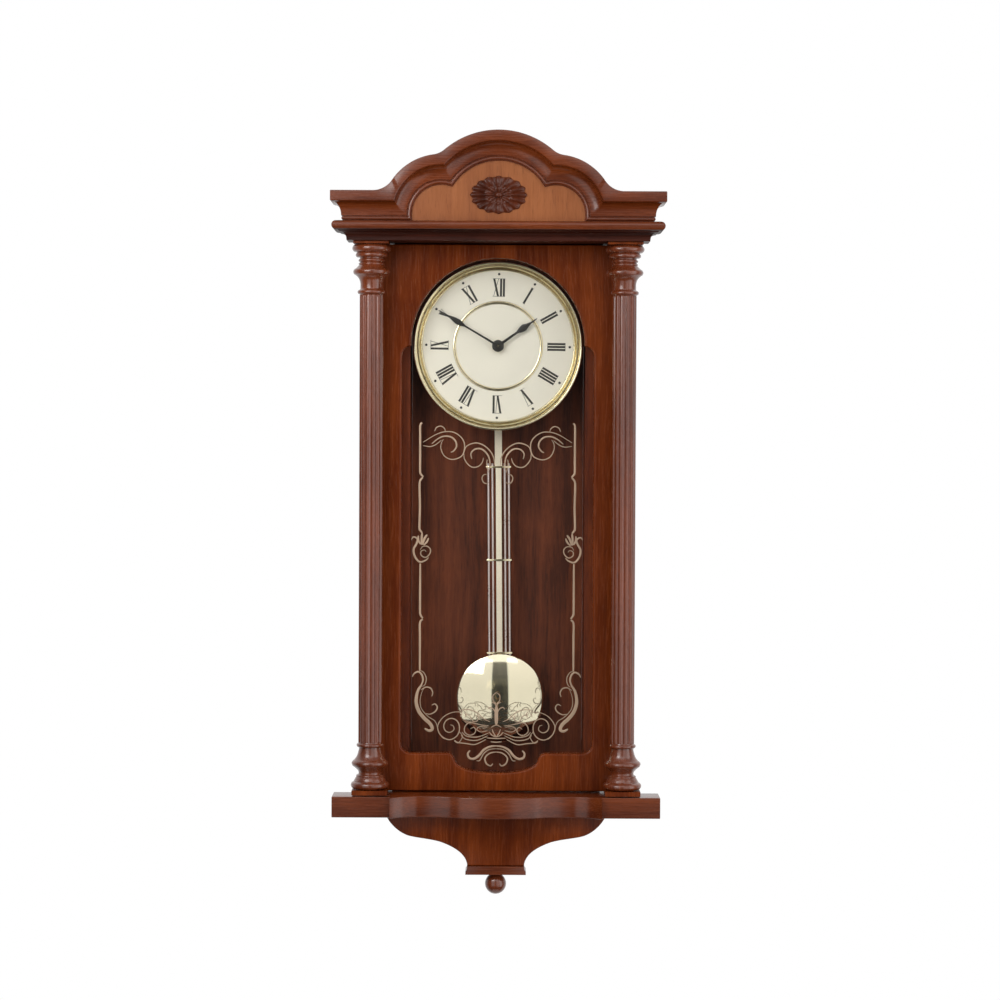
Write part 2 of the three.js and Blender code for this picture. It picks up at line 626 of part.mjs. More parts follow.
function addMovement() {
  const w = MOVEMENT_HALF_WIDTH;
  const [low, high] = [MOVEMENT_BOTTOM, MOVEMENT_TOP];
  const inside = (y0, y1) => box(-w + SHELL, w - SHELL, y0, y1, low + SHELL, high - SHELL);
  const cellMouth = box(CELL_X - 7.6, CELL_X + 7.6, CELL_Y - 7.6, MOVEMENT_BACK - SHELL, low - 1, low + 4);
  const leverSlot = box(-13, 13, -55, -44, low - 1, low + 4);
  const tray = cut(
    box(-w, w, MOVEMENT_FRONT, MOVEMENT_SPLIT, low, high),
    inside(MOVEMENT_FRONT + SHELL, MOVEMENT_SPLIT + 1),
  );
  const front = cut(
    join(
      tray,
      discAlongY(4.2, -79.2, MOVEMENT_FRONT + 1, 0, DIAL_HEIGHT, 16),
      discAlongY(1, MOVEMENT_FRONT + 1, MOVEMENT_SPLIT - 0.5, 0, PIVOT_HEIGHT, 12),
    ),
    discAlongY(3.1, -90, -50, 0, DIAL_HEIGHT, 16),
    cellMouth,
    leverSlot,
  );
  add("movement_case", front, PLASTIC);
  const seam = MOVEMENT_SPLIT + GAP;
  const back = cut(
    box(-w, w, seam, MOVEMENT_BACK, low, high),
    inside(seam - 1, MOVEMENT_BACK - SHELL),
    discAlongY(2.4, -40, -20, 0, DIAL_HEIGHT - ARBOR_DISTANCE, 16),
    cellMouth,
    leverSlot,
  );
  add("movement_cover", back, PLASTIC);
  const hex = discAlongY(6.8, -78.2, DIAL_FRONT - GAP, 0, DIAL_HEIGHT, 6);
  add("fixing_nut", cut(hex, discAlongY(4.6, -90, -50, 0, DIAL_HEIGHT, 16)), BRASS);
  const coil = new THREE.CylinderGeometry(4.6, 4.6, 19, 16).rotateZ(Math.PI / 2).translate(23, -52, 557);
  add("drive_coil", coil, COPPER);
  const cell = [
    [0, 561], [CELL_RADIUS, 561], [CELL_RADIUS, 610], [2.6, 610], [2.6, 611.6], [0, 611.6],
  ];
  add("battery_cell", turned(cell, CELL_X, CELL_Y, 16), CELL);
}

/** A spur gear's outline with short teeth and plenty of backlash; a tooth points along the phase angle. */
function gearShape(teeth, pitchRadius, phase) {
  const [tip, root] = [pitchRadius + 0.26, pitchRadius - 0.42];
  const shape = new THREE.Shape();
  const pitch = (Math.PI * 2) / teeth;
  for (let i = 0; i < teeth; i += 1) {
    const centre = phase + i * pitch;
    const corners = [[root, -0.26], [tip, -0.13], [tip, 0.13], [root, 0.26]];
    corners.forEach(([radius, share], j) => {
      const angle = centre + share * pitch;
      const point = [radius * Math.cos(angle), radius * Math.sin(angle)];
      if (i + j === 0) shape.moveTo(...point);
      else shape.lineTo(...point);
    });
  }
  return shape;
}

function gear(teeth, pitchRadius, phase, y0, y1, z) {
  return alongY(gearShape(teeth, pitchRadius, phase), y0, y1).translate(0, 0, z);
}

function addMotionWork() {
  const z = DIAL_HEIGHT;
  const settingZ = z - ARBOR_DISTANCE;
  const down = -Math.PI / 2;
  const up = Math.PI / 2;
  const minuteArbor = join(
    discAlongY(1.2, -86.3, -38, 0, z, 12),
    gear(12, 3, down, -58.5, -56.4, z),
    discAlongY(11, -54, -53, 0, z, 24),
  );
  add("minute_arbor", minuteArbor, BRASS);
  const hourWheel = cut(
    join(discAlongY(2.7, -82, -59.8, 0, z, 16), gear(40, 9.6, down, -62, -60.8, z)),
    discAlongY(1.6, -90, -50, 0, z, 16),
  );
  add("hour_wheel", hourWheel, BRASS);
  const knob = MOVEMENT_BACK + 0.8;
  const settingWheel = join(
    discAlongY(0.8, -62.6, knob + 1, 0, settingZ, 12),
    gear(36, 9, up + Math.PI / 36, -58.3, -56.6, settingZ),
    gear(10, 2.4, up + Math.PI / 10, -62.2, -60.6, settingZ),
    discAlongY(5.5, knob, knob + 4, 0, settingZ, 16),
  );
  add("setting_wheel", settingWheel, PLASTIC);
}

/** A hand's outline pointing up: a hub, a slim stem, a leaf and a fine tip. */
function handOutline({ hub, stem, leafStart, leafWidth, leafMiddle, leafEnd, tip }) {
  const half = [
    ...arcPoints(0, 0, hub, -90, 60, 6),
    [stem, hub + 2],
    [stem * 0.7, leafStart],
    [leafWidth * 0.8, (leafStart + leafMiddle) / 2],
    [leafWidth, leafMiddle],
    [leafWidth * 0.6, (leafMiddle + leafEnd) / 2],
    [0.5, leafEnd],
    [0.5, tip - 0.8],
    [0, tip],
  ];
  return mirroredOutline(half);
}

function addHands() {
  const hour = { hub: 6.4, stem: 1.7, leafStart: 27, leafWidth: 3.8, leafMiddle: 34, leafEnd: 42, tip: 51.5 };
  const minute = { hub: 5, stem: 1.5, leafStart: 44, leafWidth: 3.4, leafMiddle: 51, leafEnd: 60, tip: 74.5 };
  const specs = [
    ["hour_hand", hour, HOUR_ANGLE, -81.5, -80.7, 3],
    ["minute_hand", minute, MINUTE_ANGLE, -84.2, -83.4, 1.5],
  ];
  for (const [name, spec, angle, y0, y1, bore] of specs) {
    const flat = alongY(handOutline(spec), y0, y1).rotateY(THREE.MathUtils.degToRad(angle));
    const blade = flat.translate(0, 0, DIAL_HEIGHT);
    add(name, cut(blade, discAlongY(bore, -90, -70, 0, DIAL_HEIGHT, 16)), BLACK);
  }
  const nutBore = discAlongY(1.5, -90, -70, 0, DIAL_HEIGHT, 16);
  add("hand_nut", cut(discAlongY(3, -86, -84.5, 0, DIAL_HEIGHT, 12), nutBore), BLACK);
}

// ---- pendulum -------------------------------------------------------------------------------------------

function addPendulum() {
  const hung = new THREE.Group(); // drawn from the pivot down
  hung.position.z = PIVOT_HEIGHT;
  hung.rotation.y = THREE.MathUtils.degToRad(PENDULUM_ANGLE);
  clock.add(hung);
  const level = (height) => height - PIVOT_HEIGHT;

  const lever = new THREE.Shape();
  lever.moveTo(-2.6, 0);
  lever.lineTo(-2.6, level(521));
  lever.lineTo(2.6, level(521));
  lever.lineTo(2.6, 0);
  lever.absarc(0, 0, 2.6, 0, Math.PI, false);
  const leverBlank = alongY(lever, -52, -50, 6);
  const pivotHole = discAlongY(1.3, -90, -40, 0, 0, 16);
  add("pendulum_lever", cut(leverBlank, pivotHole), STEEL, hung);

  const [front, back] = [PENDULUM_Y - 0.7, PENDULUM_Y + 0.7];
  const bars = CROSSBAR_HEIGHTS.map(level);
  const [topBar, lowBar, bobCentre] = [bars[0], bars.at(-1), level(BOB_HEIGHT)];
  const crossbar = (z) =>
    box(-14.5, 14.5, PENDULUM_Y - 2, PENDULUM_Y + 2, z - CROSSBAR_HALF_HEIGHT, z + CROSSBAR_HALF_HEIGHT);
  const strip = join(
    box(-3.8, 3.8, front, back, topBar, level(536)),
    box(-3.05, 3.05, front, back, bobCentre - 34, topBar + 1),
    ...bars.map(crossbar),
    post(1.4, 0, PENDULUM_Y, bobCentre - 46, bobCentre - 32, 10),
    ...ROD_OFFSETS.map((x) => post(ROD_RADIUS, x, PENDULUM_Y, lowBar - 6, topBar + 4, 8)),
  );
  add("pendulum_grid", strip, BRASS, hung);

  const rim = PENDULUM_Y - 3.8;
  const edge = BOB_RADIUS - 0.6;
  const edgeAngle = Math.asin(edge / DOME_RADIUS);
  const domeCentre = rim - BOB_RIM + DOME_RADIUS * Math.cos(edgeAngle);
  const bob = [[0, rim], [BOB_RADIUS, rim], [BOB_RADIUS, rim - BOB_RIM]];
  for (let step = 0; step <= DOME_STEPS; step += 1) {
    const angle = edgeAngle * (1 - step / DOME_STEPS);
    bob.push([DOME_RADIUS * Math.sin(angle), domeCentre - DOME_RADIUS * Math.cos(angle)]);
  }
  add("pendulum_bob", turnedAlongY(bob, 0, bobCentre, 40), BRASS, hung);

  const [low, high] = [bobCentre - 42, bobCentre - 38];
  const nut = turned([[1.7, low], [3.4, low], [3.4, high], [1.7, high], [1.7, low]], 0, PENDULUM_Y, 12);
  add("rating_nut", nut, BRASS, hung);
}

// ---- assembly -------------------------------------------------------------------------------------------

addCase();
addCrown();
addCornice();
addShelf();
addApron();
addDoor();
addColumns();
for (const [label, bottom] of Object.entries(HINGE_HEIGHTS)) addHinge(label, bottom);
addCatch();
addDial();
addMovement();
addMotionWork();
addHands();
addPendulum();

export default clock;
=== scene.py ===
import json
import math

import bmesh
import bpy
from mathutils import Matrix, Vector


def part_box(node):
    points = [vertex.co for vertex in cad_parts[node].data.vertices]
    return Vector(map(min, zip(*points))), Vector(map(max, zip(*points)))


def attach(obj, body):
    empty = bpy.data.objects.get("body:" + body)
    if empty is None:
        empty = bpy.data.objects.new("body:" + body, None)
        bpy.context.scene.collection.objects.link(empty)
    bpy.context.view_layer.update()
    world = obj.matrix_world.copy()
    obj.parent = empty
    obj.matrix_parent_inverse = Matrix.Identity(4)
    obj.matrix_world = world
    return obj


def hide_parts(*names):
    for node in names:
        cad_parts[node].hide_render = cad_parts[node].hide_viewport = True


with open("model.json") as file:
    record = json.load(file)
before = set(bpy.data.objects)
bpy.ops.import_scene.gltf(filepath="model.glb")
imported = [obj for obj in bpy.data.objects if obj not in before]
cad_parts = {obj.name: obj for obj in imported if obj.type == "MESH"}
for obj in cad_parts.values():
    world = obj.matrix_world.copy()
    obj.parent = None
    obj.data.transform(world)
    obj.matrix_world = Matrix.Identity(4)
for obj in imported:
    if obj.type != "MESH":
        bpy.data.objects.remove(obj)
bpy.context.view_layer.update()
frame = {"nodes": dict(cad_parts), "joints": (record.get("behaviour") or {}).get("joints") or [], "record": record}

NODES = frame["nodes"]
RECORD = frame["record"]
SLOT_OF = {row["node"]: row["material_slot"] for row in RECORD["subparts"]}
BODY_OF = {node: body for body, nodes in RECORD["behaviour"]["bodies"].items() for node in nodes}
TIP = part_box("finial")[0].z  # shapes are drawn in millimetres, with heights from the finial's tip
SCENE = bpy.context.scene
SHARPEST_MITRE = 0.4  # keeps a sharp corner of an inset outline from running too far in
MERGE_DISTANCE = 2e-6


# ---- drawing --------------------------------------------------------------------------------------------


def metres(x, y, h):
    return Vector((x * 0.001, y * 0.001, TIP + h * 0.001))


def span(node):
    """A node's lowest and highest corner, as x, y and height in millimetres."""
    return [Vector((v.x * 1000, v.y * 1000, (v.z - TIP) * 1000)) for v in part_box(node)]


def arc(x, z, radius, start, end, steps, flat=1.0):
    """Points on an arc, angles in degrees; flat squashes it upright."""
    turns = [math.radians(start + (end - start) * i / steps) for i in range(steps + 1)]
    return [(x + radius * math.cos(t), z + radius * flat * math.sin(t)) for t in turns]


def bezier(p0, p1, p2, p3, steps):
    points = []
    for i in range(steps + 1):
        t = i / steps
        weights = ((1 - t) ** 3, 3 * t * (1 - t) ** 2, 3 * t * t * (1 - t), t**3)
        points.append(tuple(sum(w * p[k] for w, p in zip(weights, (p0, p1, p2, p3))) for k in (0, 1)))
    return points


def smooth(points, steps=6):
    """A Catmull-Rom curve through points."""
    made = []
    for i in range(len(points) - 1):
        p = [points[max(i - 1, 0)], points[i], points[i + 1], points[min(i + 2, len(points) - 1)]]
        for j in range(steps):
            t = j / steps
            w = (-t + 2 * t**2 - t**3, 2 - 5 * t**2 + 3 * t**3, t + 4 * t**2 - 3 * t**3, t**3 - t**2)
            made.append(tuple(sum(a * q[k] for a, q in zip(w, p)) / 2 for k in range(len(points[0]))))
    return made + [tuple(points[-1])]


def mirrored(half):
    """A whole outline from its right half, listed from the bottom up."""
    other = [(-x, z) for x, z in reversed(half) if x > 1e-6]
    return list(half) + other


def inset(outline, depth):
    """A closed outline, listed anticlockwise, moved inward by depth."""
    made = []
    for i, point in enumerate(outline):
        here, before = Vector(point), Vector(outline[i - 1])
        after = Vector(outline[(i + 1) % len(outline)])
        a, b = (here - before).normalized(), (after - here).normalized()
        na, nb = Vector((-a.y, a.x)), Vector((-b.y, b.x))
        step = (na + nb) / max(1 + na.dot(nb), SHARPEST_MITRE)
        made.append(tuple(here + step * depth))
    return made


def stack(loops, ring=False):
    """Skins a row of closed loops of equal length; the ends are capped, or joined when ring is true."""
    n, total = len(loops[0]), len(loops)
    faces = []
    for i in range(total if ring else total - 1):
        a, b = i * n, (i + 1) % total * n
        faces += [(a + j, a + (j + 1) % n, b + (j + 1) % n, b + j) for j in range(n)]
    if not ring:
        faces += [tuple(range(n)), tuple(range((total - 1) * n, total * n))]
    return [p for loop in loops for p in loop], faces


def rounding(edge, steps=4):
    """Inset and depth of points round a quarter turn, from the flat face to the side."""
    turns = [math.pi / 2 * i / steps for i in range(steps + 1)]
    return [(edge * (1 - math.sin(t)), edge * (1 - math.cos(t))) for t in turns]


def slab(outline, low, high, edge=0.8, upright=False, steps=4):
    """A board with this outline and rounded arrises, from low to high along Y, or up if upright is true."""
    rims = [(i, low + d) for i, d in rounding(edge, steps)]
    rims += [(i, high - d) for i, d in reversed(rounding(edge, steps))]
    loops = []
    for depth, at in rims:
        line = inset(outline, depth)
        loops.append([(x, y, at) if upright else (x, at, y) for x, y in line])
    return stack(loops)


def lathe(profile, centre, upright=True, sides=64, ring=False, radius=None):
    """A profile of (radius, position) turned about an upright or a front-to-back axis through centre."""
    loops = []
    for r, at in profile:
        loop = []
        for i in range(sides):
            t = 2 * math.pi * i / sides
            reach = r if radius is None else radius(r, at, t)
            u, v = centre[0] + reach * math.cos(t), centre[1] + reach * math.sin(t)
            loop.append((u, v, at) if upright else (u, at, v))
        loops.append(loop)
    return stack(loops, ring)


def combined(*parts):
    points, faces = [], []
    for more, their in parts:
        start = len(points)
        points += more
        faces += [tuple(i + start for i in face) for face in their]
    return points, faces


def piece(name, shape, material, node=None, also=(), body=None, crease=32):
    """Makes a piece in place of node and the nodes in also, or one more piece that rides on body."""
    points, faces = shape
    mesh = bpy.data.meshes.new(name)
    mesh.from_pydata([metres(*p) for p in points], [], faces)
    bm = bmesh.new()
    bm.from_mesh(mesh)
    bmesh.ops.remove_doubles(bm, verts=bm.verts, dist=MERGE_DISTANCE)
    bmesh.ops.recalc_face_normals(bm, faces=bm.faces)
    bm.to_mesh(mesh)
    bm.free()
    mesh.shade_smooth()
    mesh.set_sharp_from_angle(angle=math.radians(crease))
    mesh.materials.append(material)
    made = bpy.data.objects.new(name, mesh)
    SCENE.collection.objects.link(made)
    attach(made, body or BODY_OF[node])
    if node:
        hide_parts(node, *also)
    return made


# ---- surfaces -------------------------------------------------------------------------------------------


def surface(name, color, roughness, metallic=0.0, **more):
    """A new material and its node tree and shader."""
    made = bpy.data.materials.new(name)
    made.use_nodes = True
    made.diffuse_color = (*color, 1)
    shader = made.node_tree.nodes["Principled BSDF"]
    values = {"Base Color": (*color, 1), "Roughness": roughness, "Metallic": metallic}
    values.update({key.replace("_", " "): value for key, value in more.items()})
    for key, value in values.items():
        shader.inputs[key].default_value = value
    return made, made.node_tree, shader


def add(tree, kind, inputs=None, **settings):
    """Adds a shader node; a value for an input may be a number or another node's socket."""
    node = tree.nodes.new("ShaderNode" + kind)
    for key, value in settings.items():
        setattr(node, key, value)
    for key, value in (inputs or {}).items():
        if isinstance(value, bpy.types.NodeSocket):
            tree.links.new(value, node.inputs[key])
        else:
            node.inputs[key].default_value = value
    return node


def noise(tree, where, scale, detail=2.0, rough=0.5):
    inputs = {"Vector": where, "Scale": scale, "Detail": detail, "Roughness": rough}
    return add(tree, "TexNoise", inputs).outputs["Fac"]


def maths(tree, operation, a, b):
    return add(tree, "Math", {0: a, 1: b}, operation=operation).outputs[0]


def remap(tree, value, low, high, to_low, to_high):
    inputs = {"Value": value, "From Min": low, "From Max": high, "To Min": to_low, "To Max": to_high}
    return add(tree, "MapRange", inputs).outputs[0]


def weighed(tree, *pairs):
    """The sum of values, each times its weight."""
    total = 0.0
    for value, weight in pairs:
        total = maths(tree, "ADD", maths(tree, "MULTIPLY", value, weight), total)
    return total


def ramp(tree, value, stops):
    node = add(tree, "ValToRGB", {"Fac": value})
    elements = node.color_ramp.elements
    while len(elements) < len(stops):
        elements.new(0.5)
    for element, (at, color) in zip(elements, stops):
        element.position = at
        element.color = (*color, 1)
    return node.outputs["Color"]


def mixed(tree, factor, a, b):
    return add(tree, "Mix", {0: factor, 6: a, 7: b}, data_type="RGBA", blend_type="MIX").outputs[2]


GRAIN_SQUEEZE = 0.055  # how far wood's pattern is drawn out along the grain
FIGURE_SCALE, FIBRE_SCALE, CLOUD_SCALE, PORE_SCALE = 75.0, 620.0, 16.0, 1500.0  # cells in a metre
SWAY_SCALE, SWAY_REACH = 7.0, (0.012, 0.012, 0.012)


def wood(name, dark, light, grain, roughness, coat, shine, figure=1.0, seed=0.0):
    """Lacquered wood: broad figure, fine fibres and short dark pores, drawn out along the grain."""
    middle = [(a + b) / 2 for a, b in zip(dark, light)]
    lacquer = {"Coat_Weight": coat, "Coat_Roughness": 0.2, "Coat_IOR": 1.5, "Specular_IOR_Level": shine}
    made, tree, shader = surface(name, middle, roughness, **lacquer)
    spot = add(tree, "TexCoord").outputs["Object"]
    sway = add(tree, "TexNoise", {"Vector": spot, "Scale": SWAY_SCALE, "Detail": 1.0}).outputs["Color"]
    bend = add(tree, "VectorMath", {0: sway, 1: SWAY_REACH}, operation="MULTIPLY").outputs[0]
    bent = add(tree, "VectorMath", {0: spot, 1: bend}, operation="ADD").outputs[0]
    shift, squeeze = (seed, seed, seed), [GRAIN_SQUEEZE if axis == grain else 1.0 for axis in "xyz"]
    along = add(tree, "Mapping", {"Vector": bent, "Location": shift, "Scale": squeeze}).outputs[0]
    broad = noise(tree, along, FIGURE_SCALE, 3.0, 0.55)
    fibre = noise(tree, along, FIBRE_SCALE, 4.0, 0.65)
    cloud = noise(tree, spot, CLOUD_SCALE, 2.0)
    pores = noise(tree, along, PORE_SCALE, 1.0)
    total = weighed(tree, (broad, 0.5 * figure), (fibre, 0.3), (cloud, 0.2))
    centre = 0.25 * figure + 0.25
    color = ramp(tree, total, [(centre - 0.11, dark), (centre, middle), (centre + 0.11, light)])
    pits = remap(tree, pores, 0.6, 0.7, 0.0, 0.35)
    shade = mixed(tree, pits, color, (*[c * 0.35 for c in dark], 1))
    tree.links.new(shade, shader.inputs["Base Color"])
    rough = remap(tree, fibre, 0.3, 0.7, roughness - 0.07, roughness + 0.08)
    tree.links.new(rough, shader.inputs["Roughness"])
    height = maths(tree, "SUBTRACT", fibre, pits)
    bump = add(tree, "Bump", {"Strength": 0.1, "Distance": 0.0002, "Height": height})
    tree.links.new(bump.outputs[0], shader.inputs["Normal"])
    soft = add(tree, "Bump", {"Strength": 0.025, "Distance": 0.0002, "Height": fibre})
    tree.links.new(soft.outputs[0], shader.inputs["Coat Normal"])
    return made


def fine(name, color, roughness, metallic=0.0, grit=900.0, vary=0.12, spread=0.05, relief=0.05):
    """Metal, paint or plastic: small changes of tone and roughness, and a fine relief."""
    made, tree, shader = surface(name, color, roughness, metallic)
    spot = add(tree, "TexCoord").outputs["Object"]
    broad = noise(tree, spot, 35.0, 3.0)
    grain = noise(tree, spot, grit, 3.0, 0.6)
    tone = weighed(tree, (broad, 0.6), (grain, 0.4))
    darker, lighter = [c * (1 - vary) for c in color], [min(c * (1 + vary), 1) for c in color]
    tree.links.new(ramp(tree, tone, [(0.35, darker), (0.65, lighter)]), shader.inputs["Base Color"])
    rough = remap(tree, tone, 0.3, 0.7, max(roughness - spread, 0.02), roughness + spread)
    tree.links.new(rough, shader.inputs["Roughness"])
    bump = add(tree, "Bump", {"Strength": relief, "Distance": 0.0001, "Height": grain})
    tree.links.new(bump.outputs[0], shader.inputs["Normal"])
    return made


FACE_ON_MIRROR, SLANT_MIRROR, SLANT_POWER = 0.024, 0.75, 5.0


def clear_glass():
    """A clear pane: a weak mirror, stronger at a slant, over what lies behind."""
    made, tree, shader = surface("pane", (0.95, 0.97, 0.96), 0.03, metallic=1.0)
    spot = add(tree, "TexCoord").outputs["Object"]
    ripple = noise(tree, spot, 14.0, 1.0)
    bump = add(tree, "Bump", {"Strength": 0.02, "Distance": 0.001, "Height": ripple})
    tree.links.new(bump.outputs[0], shader.inputs["Normal"])
    slant = add(tree, "LayerWeight", {"Blend": 0.5}).outputs["Facing"]  # the same from inside and out
    mirror = maths(tree, "MULTIPLY", maths(tree, "POWER", slant, SLANT_POWER), SLANT_MIRROR)
    tree.links.new(maths(tree, "ADD", mirror, FACE_ON_MIRROR), shader.inputs["Alpha"])
    return made


# Each wood's darker and lighter colour.
CHERRY = ((0.098, 0.0145, 0.0015), (0.22, 0.042, 0.006))
CHERRY_ACROSS = ((0.09, 0.0145, 0.002), (0.19, 0.037, 0.006))
PALE_CHERRY = ((0.25, 0.074, 0.022), (0.36, 0.118, 0.037))
RED_BROWN = ((0.11, 0.021, 0.006), (0.21, 0.044, 0.012))
DARK_BROWN = ((0.055, 0.010, 0.003), (0.12, 0.024, 0.007))
# painted shade colour: near-black wood for the faces under the cornice's nose
SHADE_NEAR_BLACK = ((0.022, 0.0036, 0.0014), (0.06, 0.010, 0.003))
INNER_BROWN = ((0.075, 0.018, 0.006), (0.21, 0.052, 0.017))

CASE_UP = wood("case_upright", *CHERRY, "z", roughness=0.24, coat=0.0, shine=0.2)
CASE_ACROSS = wood("case_across", *CHERRY_ACROSS, "x", roughness=0.26, coat=0.5, shine=0.3, seed=1.7)
BOARDS = wood("side_boards", *CHERRY, "z", roughness=0.5, coat=0.0, shine=0.2, seed=7.4)
PANEL = wood("crown_panel_wood", *PALE_CHERRY, "z", roughness=0.35, coat=0.1, shine=0.3, seed=3.1)
TURNED = wood("turned_wood", *RED_BROWN, "z", roughness=0.24, coat=0.7, shine=0.5, seed=5.3)
CARVED = wood("carved_wood", *DARK_BROWN, "z", roughness=0.34, coat=0.15, shine=0.4, seed=4.1)
# painted shade: a near-black wood that stands in for the shade under the cornice's nose
PAINTED_SHADE = wood("painted_shade_wood", *SHADE_NEAR_BLACK, "x", roughness=0.4, coat=0.0, shine=0.2, seed=6.2)
INSIDE = wood("inside_wood", *INNER_BROWN, "z", roughness=0.5, coat=0.0, shine=0.2, figure=1.3, seed=2.2)

BRIGHT = {"metallic": 1.0, "grit": 500.0, "vary": 0.04, "spread": 0.02, "relief": 0.008}
MIRROR = {"metallic": 1.0, "grit": 260.0, "vary": 0.02, "spread": 0.02, "relief": 0.01}
MOULDED = {"grit": 1400.0, "vary": 0.2, "spread": 0.08, "relief": 0.25}
BRASS = fine("pale_brass", (0.78, 0.69, 0.46), 0.17, **BRIGHT)
SATIN = fine("satin_brass", (0.93, 0.84, 0.64), 0.45, metallic=0.1, grit=500.0, vary=0.05, spread=0.04)
POLISHED = fine("polished_brass", (0.8, 0.73, 0.53), 0.07, **MIRROR)
STEEL = fine("bright_steel", (0.76, 0.67, 0.62), 0.3, metallic=0.8)
DIAL = fine("dial_cream", (0.87, 0.83, 0.69), 0.6, grit=700.0, vary=0.03)
PRINT = fine("dial_print", (0.035, 0.032, 0.024), 0.5)
BLACK = fine("hand_paint", (0.018, 0.016, 0.012), 0.35)
PLASTIC = fine("moulded_plastic", (0.02, 0.021, 0.024), 0.5, **MOULDED)
COPPER = fine("copper_winding", (0.5, 0.16, 0.06), 0.3, metallic=1.0)
JACKET = fine("cell_jacket", (0.045, 0.13, 0.08), 0.35, metallic=0.2)
GLASS = clear_glass()
GILT = fine("gilt_print", (0.46, 0.32, 0.215), 0.42, metallic=0.3, grit=1200.0, vary=0.12)

SURFACES = {
    "case_wood": CASE_UP,
    "panel_wood": PANEL,
    "turned_wood": TURNED,
    "inner_wood": INSIDE,
    "brass": BRASS,
    "steel": STEEL,
    "dial_paint": DIAL,
    "black_paint": BLACK,
    "black_plastic": PLASTIC,
    "copper_wire": COPPER,
    "cell_jacket": JACKET,
    "glass": GLASS,
}

# ---- crown ----------------------------------------------------------------------------------------------

MOULDING, FIELD = span("crown_moulding"), span("crown_panel")
CROWN_HALF, CROWN_BACK, CROWN_TOP = MOULDING[1].x, MOULDING[1].y, MOULDING[1].z
FIELD_FRONT, MOULDING_DEPTH, PANEL_GAP = FIELD[0].y, 15.0, 0.3
ARCH_RADIUS, LOBE_RADIUS, LOBE_X = 87.5, 62.0, 60.0
END_FILLET, VALLEY_FILLET, CROWN_EDGE = 24.0, 22.0, 745.4
CENTRE_HEIGHT = CROWN_TOP - ARCH_RADIUS  # of the arch and both lobes


def crown_height(x):
    """The crown's top edge: straight ends, two lobes and an arch, with hollow fillets between them."""
    at, end = abs(x), END_FILLET
    end_x = LOBE_X + math.sqrt((LOBE_RADIUS + end) ** 2 - (CROWN_EDGE + end - CENTRE_HEIGHT) ** 2)
    lobe, arch = LOBE_RADIUS + VALLEY_FILLET, ARCH_RADIUS + VALLEY_FILLET
    valley_x = (arch**2 - lobe**2 + LOBE_X**2) / (2 * LOBE_X)
    valley_h = CENTRE_HEIGHT + math.sqrt(arch**2 - valley_x**2)
    if at <= valley_x * ARCH_RADIUS / arch:
        return CENTRE_HEIGHT + math.sqrt(ARCH_RADIUS**2 - at**2)
    if at <= LOBE_X + (valley_x - LOBE_X) * LOBE_RADIUS / lobe:
        return valley_h - math.sqrt(VALLEY_FILLET**2 - (at - valley_x) ** 2)
    if at <= LOBE_X + (end_x - LOBE_X) * LOBE_RADIUS / (LOBE_RADIUS + end):
        return CENTRE_HEIGHT + math.sqrt(LOBE_RADIUS**2 - (at - LOBE_X) ** 2)
    if at <= end_x:
        return CROWN_EDGE + end - math.sqrt(end**2 - (at - end_x) ** 2)
    return CROWN_EDGE


def crown_line(depth, end_x):
    """A line inside the crown's edge, from its right end to its left, mitred where two stretches meet."""
    lobe, arch, edge = LOBE_RADIUS - depth, ARCH_RADIUS - depth, CROWN_EDGE - depth
    lobe_x = LOBE_X + math.sqrt(lobe**2 - (edge - CENTRE_HEIGHT) ** 2)
    cross_x = (arch**2 - lobe**2 + LOBE_X**2) / (2 * LOBE_X)
    cross_h = CENTRE_HEIGHT + math.sqrt(arch**2 - cross_x**2)
    rise = [math.degrees(math.atan2(edge - CENTRE_HEIGHT, lobe_x - LOBE_X))]
    rise.append(math.degrees(math.atan2(cross_h - CENTRE_HEIGHT, cross_x - LOBE_X)))
    rise.append(math.degrees(math.atan2(cross_h - CENTRE_HEIGHT, cross_x)))
    shares = [0, 0.3, 0.55] + [0.66 + 0.02 * i for i in range(17)]  # close together at the end fillet
    half = [(end_x + (lobe_x - end_x) * share, edge) for share in shares]
    half += arc(LOBE_X, CENTRE_HEIGHT, lobe, rise[0], rise[1], 30)
    half += arc(0, CENTRE_HEIGHT, arch, rise[2], 90, 24)[1:]
    if depth < 2:
        half = [(x, crown_height(x) - depth) for x, _ in half]
    return half + [(-x, h) for x, h in reversed(half[:-1])]


def crown_profile():
    """Inset from the edge and how far the moulding stands out: fascia, cove, and a bead with quirks."""
    fascia = [(0, 0), (0, 14.2), (0.3, 14.8), (0.9, 15), (10.4, 15), (11, 14.6), (11.3, 13.6)]
    cove = arc(25.6, 13.1, 14.0, 180, 270, 8, flat=9.2 / 14.0)
    bead = arc(28.4, 2.2, 1.6, 180, 0, 6, flat=1.5 / 1.6)
    return [*fascia, *cove, (25.9, 2.2), (26.7, 2.2), *bead, (30.1, 0.9), (31, 0.9), (31.1, 0)]


def crown_moulding():
    rows = []
    for depth, out in crown_profile():
        end_x = CROWN_HALF - MOULDING_DEPTH + out
        y = FIELD_FRONT - PANEL_GAP - out
        line = [(x, y, h) for x, h in crown_line(depth, end_x)]
        edge = CROWN_EDGE - depth
        rows.append([(end_x, CROWN_BACK, edge), *line, (-end_x, CROWN_BACK, edge)])
    return stack([list(station) for station in zip(*rows)])


def crown_panel():
    half = CROWN_HALF - MOULDING_DEPTH - PANEL_GAP
    outline = [(half, FIELD[0].z), *crown_line(0, half), (-half, FIELD[0].z)]
    return slab(outline, FIELD_FRONT, CROWN_BACK, 0.15, steps=1)


PETALS, LEAVES, ROSETTE_SIDES, ROSETTE_RINGS = 16, 8, 320, 44


